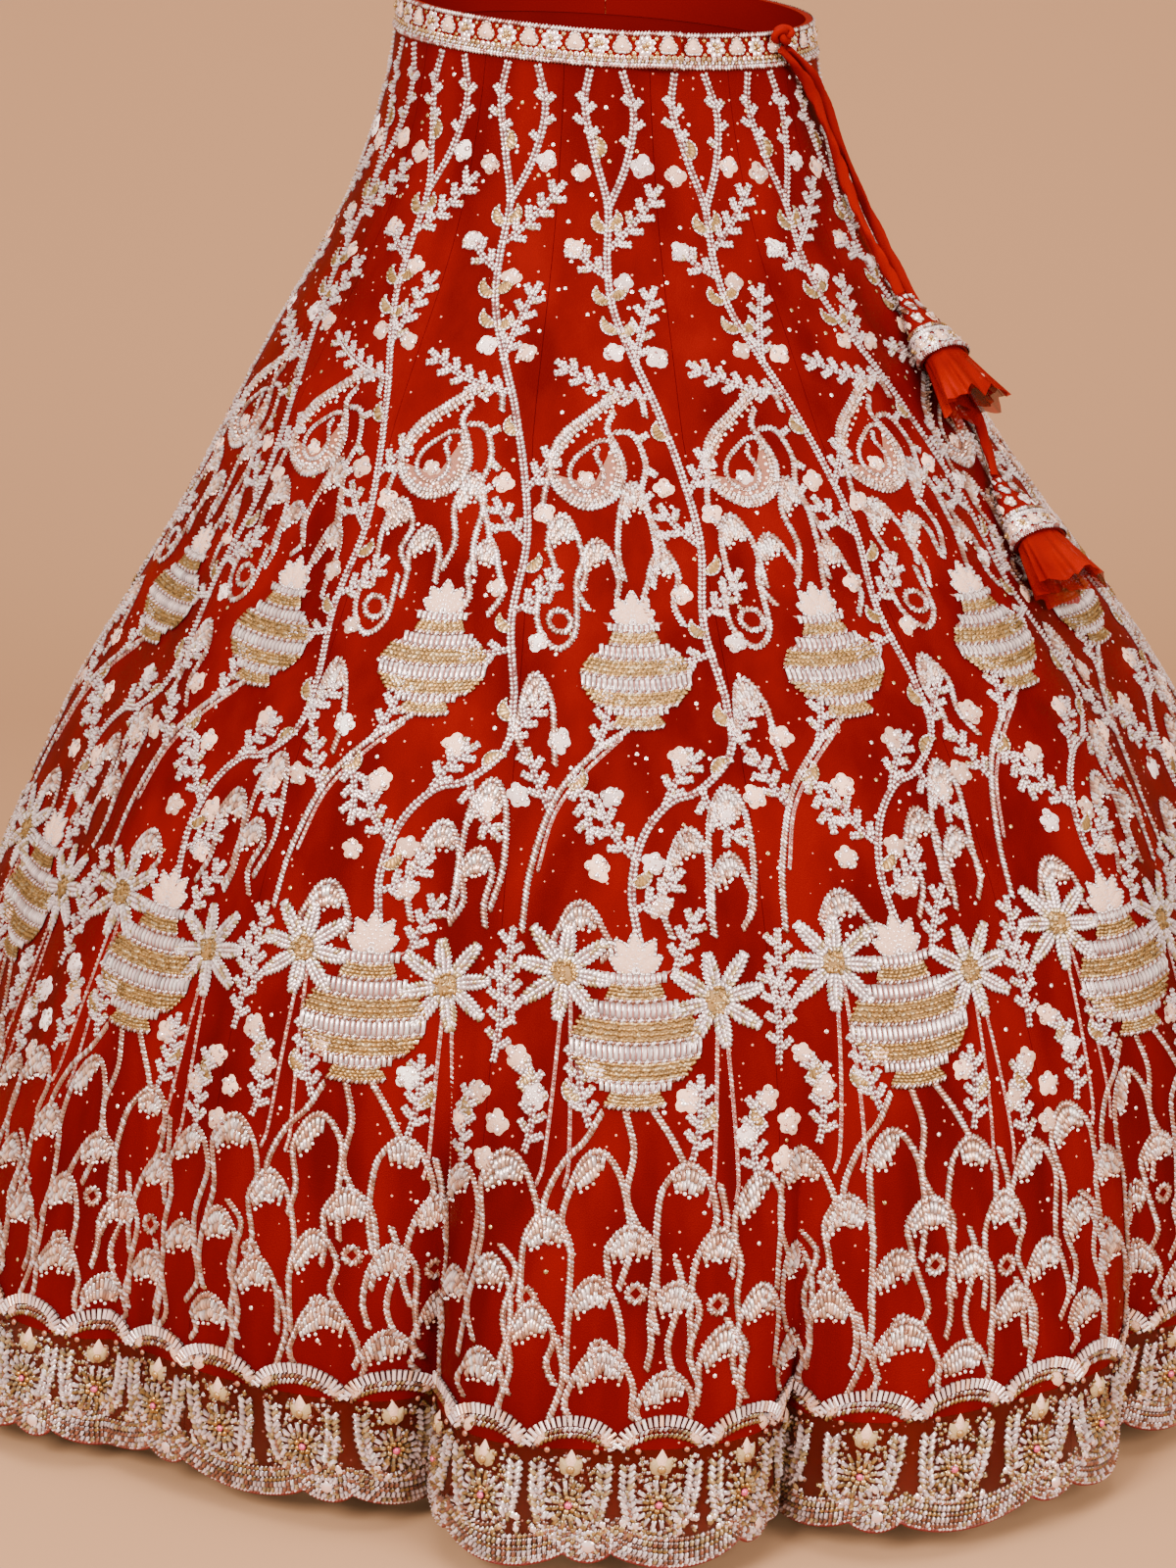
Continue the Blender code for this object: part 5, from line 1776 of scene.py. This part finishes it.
@dataclass
class Waistband:
    """The beaded waistband in four lengths, with rosettes between corded edges."""

    form: ClothForm
    wardrobe: Wardrobe
    embroiderer: Embroiderer
    wall: float = 0.0036
    piping: float = 0.0018
    piping_height: float = 0.0030
    step: float = 2.5

    def build(self) -> None:
        """Builds the four lengths."""
        for node, first, last, laps in (
            ("waistband_front", -90.0, 19.5, True),
            ("waistband_overlap", 13.0, 56.25 - 0.35, False),
            ("waistband_back_right", 56.25 + 0.35, 180.0, False),
            ("waistband_back_left", 180.0, 270.0, False),
        ):
            gap = 0.07
            patch = BandPatch(self.form, node, first + gap, last - gap, laps)
            piece = self.cloth(patch)
            work = Needlework(seed=len(node))
            self.embroider(work, patch)
            sewn = self.embroiderer.lay(node, work, patch.place)
            for item in [piece, *sewn]:
                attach(item, BODY)
            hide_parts(node)

    def section(self, height: float, face: float) -> list[tuple]:
        """Section of the band as (out from the cloth, down from its top), with round piping."""
        centre = self.piping_height / 2.0
        turns = np.linspace(-math.pi / 2, math.pi / 2, 5)
        upper = [(face + (self.piping - face) * math.cos(t), centre + centre * math.sin(t)) for t in turns]
        lower = [(out, down + height - self.piping_height) for out, down in upper]
        return [(-self.wall, 0.0), *upper, *lower, (-self.wall, height)]

    def cloth(self, patch: BandPatch) -> bpy.types.Object:
        """One length of the band's cloth."""
        section = self.section(patch.height, patch.face)
        count = max(3, int((patch.last - patch.first) / self.step))
        stops = np.unique(np.concatenate([np.linspace(patch.first, patch.last, count),
            patch.ramp if patch.laps else ()]))
        outs, downs = np.array(section).T
        points = []
        for degrees in stops:
            lifts = outs + patch.lift(degrees)
            points.append(self.form.lifted(np.full(len(outs), degrees), downs / self.form.drop, lifts))
        n = len(section)
        ids = np.arange(len(stops) * n).reshape(len(stops), n)
        after = np.roll(ids, -1, axis=1)
        faces = np.stack([ids[:-1], after[:-1], after[1:], ids[1:]], axis=-1).reshape(-1, 4).tolist()
        faces += [ids[0][::-1].tolist(), ids[-1].tolist()]
        piece = new_piece(f"band_{patch.node}", np.concatenate(points), faces, self.wardrobe.band)
        piece.data.set_sharp_from_angle(angle=math.radians(50.0))
        return piece

    def embroider(self, work: Needlework, patch: BandPatch) -> None:
        """Corded edges, rows of sequins and beads, and rosettes by turns with three-lobed flowers.

        Args:
            work: The needlework to add to.
            patch: The length of band.
        """
        start, end = 0.0015, float(patch.run[-1]) - 0.0015
        for down, size, slant, tints in (
            (0.0014, (0.0034, 0.0021, 0.0016), 0.7, (PEARL, BLUSH)),
            (0.0226, (0.0034, 0.0021, 0.0016), 0.7, (PEARL, BLUSH)),
            (0.0238, (0.0030, 0.0019, 0.0014), -0.7, (BLUSH, PEARL)),
        ):
            at, way = even(np.array([complex(start, -down), complex(end, -down)]), 0.0024)
            work.sew(at, way * np.exp(1j * slant), size, Bead.RICE, work.mixed(len(at), tints, (2, 1)),
                0.0011)
        at, way = even(np.array([complex(start, -0.0204), complex(end, -0.0204)]), 0.0026)
        by_turns = np.where((np.arange(len(at)) % 2 == 0)[:, None], np.array(GOLD), np.array(SILVER))
        work.sew(at, way * np.exp(1.15j), (0.0036, 0.0021, 0.0020), Bead.RICE, by_turns, 0.0004)
        at, way = even(np.array([complex(start, -0.0175), complex(end, -0.0175)]), 0.0040)
        tints = work.mixed(len(at), (PALE_GOLD, PEARL), (3, 2))
        work.sew(at, 1.0, (0.0038, 0.0038, 0.0012), Bead.SEQUIN, tints, 0.0004)
        work.sew(at, 1.0, (0.0014, 0.0014, 0.0010), Bead.STONE, GOLD, 0.0012)
        pitch = (end - start) / max(2, round((end - start) / 0.0166))
        centres = np.arange(start + pitch / 2.0, end, pitch)
        for i, x in enumerate(centres):
            centre = complex(x, -0.0098)
            if i % 2 == 0:
                self.rosette(work, centre)
            else:
                self.trefoil(work, centre)
        for x in np.arange(start + pitch, end - 0.004, pitch):
            for down in (0.0048, 0.0148):
                work.sew(complex(x, -down), 1.0, (0.0030, 0.0030, 0.0012), Bead.SEQUIN,
                    work.mixed(1, (GOLD, PALE_GOLD), (1, 1)), 0.0005)

    @staticmethod
    def rosette(work: Needlework, centre: complex) -> None:
        """A rosette of cupped sequins round a stone."""
        ring = np.exp(2j * np.pi * (np.arange(8) + 0.5) / 8)
        work.sew(centre + 0.0050 * ring, ring, (0.0056, 0.0046, 0.0016), Bead.SEQUIN,
            work.mixed(8, (PEARL, SILVER), (2, 1)), 0.0006)
        work.sew(centre + 0.0026 * ring[::2], ring[::2], (0.0040, 0.0034, 0.0018), Bead.SEQUIN,
            work.mixed(4, (PALE_GOLD, PEARL), (2, 1)), 0.0012)
        work.sew(centre, 1.0, (0.0036, 0.0036, 0.0026), Bead.STONE, GOLD, 0.0018)

    @staticmethod
    def trefoil(work: Needlework, centre: complex) -> None:
        """A flower of three filled lobes."""
        angle = np.linspace(0.0, 2.0 * np.pi, 18, endpoint=False)
        reach = 0.0062 * (0.70 + 0.34 * np.abs(np.cos(1.5 * angle)))
        work.pad(centre + 0.0004j + reach * np.exp(1j * (angle + np.pi / 2)), 0.0020, PEACH)
        points, ways = even(centre + 0.0004j + reach * np.exp(1j * (angle + np.pi / 2)), 0.0030, True)
        work.sew(points, ways, (0.0028, 0.0015, 0.0015), Bead.RICE,
            work.mixed(len(points), (PEARL, PEACH), (2, 1)), 0.0006)
        work.sew(centre - 0.001j, 1.0, (0.0026, 0.0026, 0.0012), Bead.SEQUIN, PEARL, 0.0020)


@dataclass
class ConePatch(Patch):
    """The outside of one tassel's cone, flattened against the skirt."""

    form: ClothForm
    degrees: float
    share: float
    start_lift: float
    number: int
    length: float = 0.058
    ruffle: float = 0.056
    tip: float = 0.0050
    mouth: float = 0.029
    flatness: float = 0.52
    lean: float = -8.0
    end_lift: float = 0.032
    start: np.ndarray = field(init=False)
    down: np.ndarray = field(init=False)
    side: np.ndarray = field(init=False)
    out: np.ndarray = field(init=False)

    def __post_init__(self) -> None:
        """Works out where the tassel starts and which way it hangs."""
        reach = (self.length + self.ruffle) / self.form.drop
        start = self.form.lifted(np.array([self.degrees]), np.array([self.share]),
            np.array([self.start_lift]))[0]
        end = self.form.lifted(np.array([self.degrees + self.lean]), np.array([self.share + reach]),
            np.array([self.end_lift]))[0]
        out = self.form.normals(np.array([self.degrees]), np.array([self.share + reach / 2]))[0]
        self.down = (end - start) / np.linalg.norm(end - start)
        side = np.cross(self.down, out)
        self.side = side / np.linalg.norm(side)
        self.out = np.cross(self.side, self.down)
        self.start = start + self.down * 0.0015

    def radius(self, share: np.ndarray) -> np.ndarray:
        """Radius at a share of the cone's length."""
        return self.tip + (self.mouth - self.tip) * np.clip(share, 0.0, 1.2) ** 0.85

    def ring(self, along: np.ndarray, turn: np.ndarray, radius: np.ndarray) -> np.ndarray:
        """Points at distances down the tassel and angles round it."""
        along, turn, radius = np.broadcast_arrays(along, turn, radius)
        across = self.side * (radius * np.cos(turn))[..., None]
        proud = self.out * (radius * self.flatness * np.sin(turn))[..., None]
        return self.start + self.down * along[..., None] + across + proud

    def surface(self, flat: np.ndarray) -> np.ndarray:
        """Points at (along the cone's girth from its front, down from its tip as a negative)."""
        along = -flat.imag
        radius = self.radius(along / self.length)
        return self.ring(along, np.pi / 2 + flat.real / radius, radius)


@dataclass
class Tassel:
    """An embroidered cone with a ragged net ruffle in its mouth."""

    patch: ConePatch
    wardrobe: Wardrobe
    embroiderer: Embroiderer
    wall: float = 0.0016
    sides: int = 40
    rings: int = 12

    def build(self) -> list[bpy.types.Object]:
        """Builds the tassel.

        Returns:
            Its pieces, the cone first.
        """
        number = self.patch.number
        cone = self.cone()
        work = Needlework(seed=40 + number)
        self.embroider(work)
        sewn = self.embroiderer.lay(f"tassel_{number}", work, self.patch.place)
        ruffles = [self.ruffle(layer) for layer in range(2)]
        for item in [cone, *sewn]:
            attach(item, BODY)
        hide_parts(f"tassel_cone_{number}")
        for item in ruffles:
            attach(item, BODY)
            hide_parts(f"tassel_ruffle_{number}")
        return [cone, *sewn, *ruffles]

    def cone(self) -> bpy.types.Object:
        """The cone of band cloth, closed at its tip, with a wall at its open mouth."""
        patch = self.patch
        turns = np.linspace(0.0, 2.0 * np.pi, self.sides, endpoint=False)
        shares = np.linspace(0.0, 1.0, self.rings)
        points = []
        for share in shares:
            radius = patch.radius(share) * (1.0 + 0.02 * share * np.sin(5.0 * turns))
            points.append(patch.ring(patch.length * share, turns, radius))
        for share in shares[::-1]:
            along = max(patch.length * share, self.wall)
            radius = patch.radius(share) * (1.0 + 0.02 * share * np.sin(5.0 * turns))
            radius = radius - self.wall / patch.flatness
            points.append(patch.ring(along, turns, radius))
        return self.sleeve(f"cone_{patch.number}", points, self.wardrobe.band, closed=True)

    def ruffle(self, layer: int) -> bpy.types.Object:
        """One layer of gathered net with a ragged edge.

        Args:
            layer: 0 for the outer layer, 1 for the inner one.

        Returns:
            The layer.
        """
        patch = self.patch
        random = np.random.default_rng(90 + 7 * patch.number + layer)
        count = 132
        turns = np.linspace(0.0, 2.0 * np.pi, count, endpoint=False)
        ragged = np.interp(turns, np.linspace(0.0, 2.0 * np.pi, 23),
            np.append(random.random(22), 0.5) * 0.012)
        phases = 2.0 * np.pi * random.random(5)
        shares = np.linspace(0.0, 1.0, 15)
        points = []
        for share in shares:
            wave = 0.0068 * max(0.0, share - 0.08)
            folds = sum(
                weight * np.sin(waves * turns + phase + drift * share)
                for waves, weight, phase,
                    drift in zip((3, 5, 8, 13, 19), (0.6, 0.5, 0.6, 0.6, 0.3), phases,
                    (0.8, -0.6, 0.9, -1.2, 1.5))
            )
            radius = (0.0225 - 0.0070 * layer) + (0.0150 - 0.004 * layer) * share + wave * folds * 0.62
            along = patch.length * 0.88 + (patch.ruffle * 0.97 - 0.007 * layer - ragged) * share
            points.append(patch.ring(along, turns, radius))
        piece = self.sleeve(f"ruffle_{patch.number}_{layer + 1}", points, self.wardrobe.tulle, closed=False)
        hem = np.linalg.norm(np.diff(points[-1], axis=0, append=points[-1][:1]), axis=1).sum()
        piece["hem_length"] = float(hem)
        piece["depth"] = float(patch.ruffle * 0.97 - 0.005)
        root = np.linalg.norm(np.diff(points[0], axis=0, append=points[0][:1]), axis=1).sum()
        piece["cut_area"] = 0.5 * float(hem + root) * piece["depth"]
        return piece

    @staticmethod
    def sleeve(name: str, rings: list, material: bpy.types.Material, closed: bool) -> bpy.types.Object:
        """A sleeve through rings of points, closed at both its ends if wanted."""
        count = len(rings[0])
        ids = np.arange(len(rings) * count).reshape(len(rings), count)
        after = np.roll(ids, -1, axis=1)
        faces = np.stack([ids[:-1], ids[1:], after[1:], after[:-1]], axis=-1).reshape(-1, 4).tolist()
        if closed:
            faces += [ids[0].tolist(), ids[-1][::-1].tolist()]
        piece = new_piece(name, np.concatenate(rings), faces, material)
        bm = bmesh.new()
        bm.from_mesh(piece.data)
        bmesh.ops.recalc_face_normals(bm, faces=bm.faces)
        bm.to_mesh(piece.data)
        bm.free()
        piece.data.shade_smooth()
        piece.data.set_sharp_from_angle(angle=math.radians(70.0))
        return piece

    def embroider(self, work: Needlework) -> None:
        """Bead rows and small flowers round the mouth, buds and sprays above them."""
        patch = self.patch
        for down, size, slant, kind, tints in (
            (0.0568, (0.0034, 0.0024, 0.0024), 0.6, Bead.RICE, (PEARL, BLUSH)),
            (0.0550, (0.0034, 0.0024, 0.0020), 0.6, Bead.RICE, (BLUSH, PEARL)),
            (0.0400, (0.0044, 0.0025, 0.0022), 1.4, Bead.RICE, (PEARL, SILVER)),
            (0.0360, (0.0036, 0.0022, 0.0020), 0.9, Bead.RICE, (COPPER, GOLD, SILVER)),
        ):
            radius = float(patch.radius(down / patch.length))
            half = math.pi * radius
            at, way = even(np.array([complex(-half, -down), complex(half, -down)]), 0.0031)
            work.sew(at, way * np.exp(1j * slant), size, kind,
                work.mixed(len(at), tints, np.ones(len(tints))), 0.0006)
        radius = float(patch.radius(0.82))
        for i, x in enumerate(np.linspace(-math.pi, math.pi, 13)[:-1] * radius):
            centre = complex(x, -0.0478)
            if i % 2:
                Waistband.trefoil(work, centre)
            else:
                Waistband.rosette(work, centre)
        radius = float(patch.radius(0.42))
        for i, x in enumerate(np.linspace(-math.pi, math.pi, 7)[:-1] * radius):
            work.flower(complex(x, -0.0265), 0.0052, 4, 0.5)
            work.hatched_leaf(complex(x * 0.62, -0.0195), 1j, 0.0095)
        for x in np.linspace(-math.pi, math.pi, 9)[:-1] * patch.tip * 1.5:
            work.sew(complex(x, -0.0050), 1j, (0.0044, 0.0022, 0.0022), Bead.RICE, PEARL, 0.0004)


@dataclass
class Drawstring:
    """The drawstring's knot and two free tails of flat fabric tube, each with its tassel."""

    form: ClothForm
    wardrobe: Wardrobe
    embroiderer: Embroiderer
    diameter: float = 0.0065
    path_points: int = 30
    routes: tuple = (
        ((51.3, 0.0146, 0.0075), (57.5, 0.0310, 0.0088), (65.0, 0.0560, 0.0078), (69.0, 0.0920, 0.0078),
        (70.0, 0.1280, 0.0078),
         (70.5, 0.1600, 0.0078), (71.2, 0.1850, 0.0072), (71.5, 0.2080, 0.0068)),
        ((54.9, 0.0144, 0.0075), (62.0, 0.0310, 0.0088), (70.5, 0.0560, 0.0078), (76.0, 0.0980, 0.0078),
        (78.5, 0.1350, 0.0078),
         (78.5, 0.1720, 0.0078), (77.4, 0.2120, 0.0074), (76.6, 0.2460, 0.0070), (75.0, 0.2800, 0.0068),
         (71.8, 0.3120, 0.0066),
         (67.0, 0.3430, 0.0066)),
    )

    def build(self) -> None:
        """Builds the tails with their tassels, then the knot."""
        for number, route in enumerate(self.routes, 1):
            path = self.path(route)
            tail = self.tail(number, path)
            degrees, share, lift = route[-1]
            patch = ConePatch(self.form, degrees, share, lift, number)
            pieces = Tassel(patch, self.wardrobe, self.embroiderer).build()
        self.knot()

    def path(self, route: tuple) -> np.ndarray:
        """Evenly spaced points of a tail's centreline."""
        table = np.array(route)
        fine = np.linspace(0, len(table) - 1, 200)
        slopes = np.gradient(table, axis=0)
        i = np.clip(fine.astype(int), 0, len(table) - 2)
        f = (fine - i)[:, None]
        one, two = table[i], table[i + 1]
        read = (
            one * (2 * f**3 - 3 * f**2 + 1)
            + two * (3 * f**2 - 2 * f**3)
            + slopes[i] * (f**3 - 2 * f**2 + f)
            + slopes[i + 1] * (f**3 - f**2)
        )
        points = self.form.lifted(read[:, 0], read[:, 1], read[:, 2])
        return self.spaced(points, self.path_points)

    @staticmethod
    def spaced(points: np.ndarray, count: int) -> np.ndarray:
        """A number of evenly spaced points along a line of points."""
        length = np.concatenate([[0.0], np.cumsum(np.linalg.norm(np.diff(points, axis=0), axis=1))])
        stops = np.linspace(0.0, length[-1], count)
        return np.stack([np.interp(stops, length, points[:, axis]) for axis in range(3)], axis=1)

    def tail(self, number: int, path: np.ndarray) -> bpy.types.Object:
        """One tail: a soft flattened tube that twists slowly and creases.

        Args:
            number: 1 or 2.
            path: Points of its centreline.

        Returns:
            The tail.
        """
        fine = self.spaced(path, 150)
        tangents = np.gradient(fine, axis=0)
        tangents /= np.linalg.norm(tangents, axis=1, keepdims=True)
        out = fine * np.array([1.0, 1.0, 0.0])
        out /= np.linalg.norm(out, axis=1, keepdims=True)
        across = np.cross(tangents, out)
        across /= np.linalg.norm(across, axis=1, keepdims=True)
        out = np.cross(across, tangents)
        share = np.linspace(0.0, 1.0, len(fine))
        turn = 0.5 * number + 2.6 * share * np.pi
        around = np.linspace(0.0, 2.0 * np.pi, 16, endpoint=False)
        rings = []
        for i, place in enumerate(fine):
            crease = 1.0 + 0.13 * np.sin(3.0 * around + 26.0 * share[i] * np.pi)
            crease = crease + 0.06 * np.sin(90.0 * share[i] + 2.0 * around)
            x, y = 0.0040 * np.cos(around) * crease, 0.0024 * np.sin(around) * crease
            wide = x * np.cos(turn[i]) - y * np.sin(turn[i])
            deep = x * np.sin(turn[i]) + y * np.cos(turn[i])
            rings.append(place + across[i] * wide[:, None] + out[i] * deep[:, None])
        piece = Tassel.sleeve(f"dori_{number}", rings, self.wardrobe.dori, closed=True)
        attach(piece, BODY)
        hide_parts(f"dori_tail_{number}")
        return piece

    def knot(self) -> None:
        """The tied knot: a tube of the same cloth wound over itself."""
        degrees, share, lift = 53.0, 0.004, 0.0075
        centre = self.form.lifted(np.array([degrees]), np.array([share]), np.array([lift]))[0]
        out = self.form.normals(np.array([degrees]), np.array([share]))[0]
        along = np.cross(out, np.array([0.0, 0.0, 1.0]))
        along /= np.linalg.norm(along)
        up = np.cross(along, out)
        t = np.linspace(0.0, 2.0 * np.pi, 121)[:-1]
        wide = (2.0 + np.cos(3.0 * t)) * np.cos(2.0 * t) / 3.0 * 0.0085
        tall = (2.0 + np.cos(3.0 * t)) * np.sin(2.0 * t) / 3.0 * 0.0052
        deep = np.sin(3.0 * t) * 0.0026
        line = centre + along * wide[:, None] + up * tall[:, None] + out * deep[:, None]
        tangents = np.roll(line, -1, axis=0) - np.roll(line, 1, axis=0)
        tangents /= np.linalg.norm(tangents, axis=1, keepdims=True)
        one = np.cross(tangents, out)
        one /= np.linalg.norm(one, axis=1, keepdims=True)
        two = np.cross(tangents, one)
        around = np.linspace(0.0, 2.0 * np.pi, 12, endpoint=False)
        rings = [place + 0.0026 * (a * np.cos(around)[:, None] + b * np.sin(around)[:, None]) for place, a,
            b in zip(line, one, two)]
        rings.append(rings[0])
        piece = Tassel.sleeve("knot", rings, self.wardrobe.dori, closed=False)
        bm = bmesh.new()
        bm.from_mesh(piece.data)
        bmesh.ops.remove_doubles(bm, verts=bm.verts, dist=1e-6)
        bm.to_mesh(piece.data)
        bm.free()
        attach(piece, BODY)
        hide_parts("dori_knot")


@dataclass
class Studio:
    """Backdrop, lights and camera."""

    floor: float = -0.9600

    def camera(self) -> None:
        """The camera at the photograph's viewing angle."""
        data = bpy.data.cameras.new("camera")
        data.sensor_width = 36.0
        data.lens = 81.9
        camera = bpy.data.objects.new("camera", data)
        camera.location = (-0.013, -2.6, 0.18)
        camera.rotation_euler = (math.radians(73.7), 0.0, 0.0)
        bpy.context.scene.collection.objects.link(camera)
        bpy.context.scene.camera = camera

    def build(self) -> None:
        """Builds the floor that sweeps up into a backdrop, and the lights."""
        paper = Backdrop("backdrop_paper", (0.345, 0.177, 0.089), 0.9, specular=0.05).build()
        profile = [(-4.0, 0.0), (1.6, 0.0)]
        for i in range(1, 13):
            angle = math.pi / 2 * i / 12
            profile.append((1.6 + 1.2 * math.sin(angle), 1.2 * (1.0 - math.cos(angle))))
        profile.append((2.8, 5.0))
        points = [(x, y, self.floor + z) for y, z in profile for x in (-5.0, 5.0)]
        faces = [(2 * i, 2 * i + 1, 2 * i + 3, 2 * i + 2) for i in range(len(profile) - 1)]
        sweep = new_piece("backdrop", np.array(points), faces, paper)
        for name, place, size, power, colour in (
            ("key_light", (-1.8, -3.0, 1.6), 1.4, 300.0, (1.0, 0.98, 0.96)),
            ("fill_light", (2.2, -2.8, 0.8), 1.8, 185.0, (1.0, 0.98, 0.97)),
            ("top_light", (0.0, -0.6, 2.9), 2.2, 150.0, (1.0, 0.98, 0.96)),
        ):
            data = bpy.data.lights.new(name, "AREA")
            data.size = size
            data.energy = power
            data.color = colour
            light = bpy.data.objects.new(name, data)
            light.location = place
            light.rotation_euler = (Vector((0.0, 0.0, -0.5)) - Vector(place)).to_track_quat("-Z",
                "Y").to_euler()
            bpy.context.scene.collection.objects.link(light)
        world = bpy.data.worlds.new("studio")
        world.use_nodes = True
        world.node_tree.nodes["Background"].inputs["Color"].default_value = (1.0, 0.95, 0.90, 1.0)
        world.node_tree.nodes["Background"].inputs["Strength"].default_value = 1.30
        bpy.context.scene.world = world


def main() -> None:
    """Builds the skirt and its studio."""
    logging.basicConfig(level=logging.INFO, format="%(name)s: %(message)s")
    wardrobe = Wardrobe()
    studio = Studio()
    studio.camera()
    form = ClothForm()
    embroiderer = Embroiderer(BeadTree(wardrobe), wardrobe)
    Drawstring(form, wardrobe, embroiderer).build()
    Waistband(form, wardrobe, embroiderer).build()
    Lining(form, wardrobe).build()
    SkirtPanels(form, wardrobe, embroiderer).build()
    studio.build()


if __name__ == "__main__":
    main()
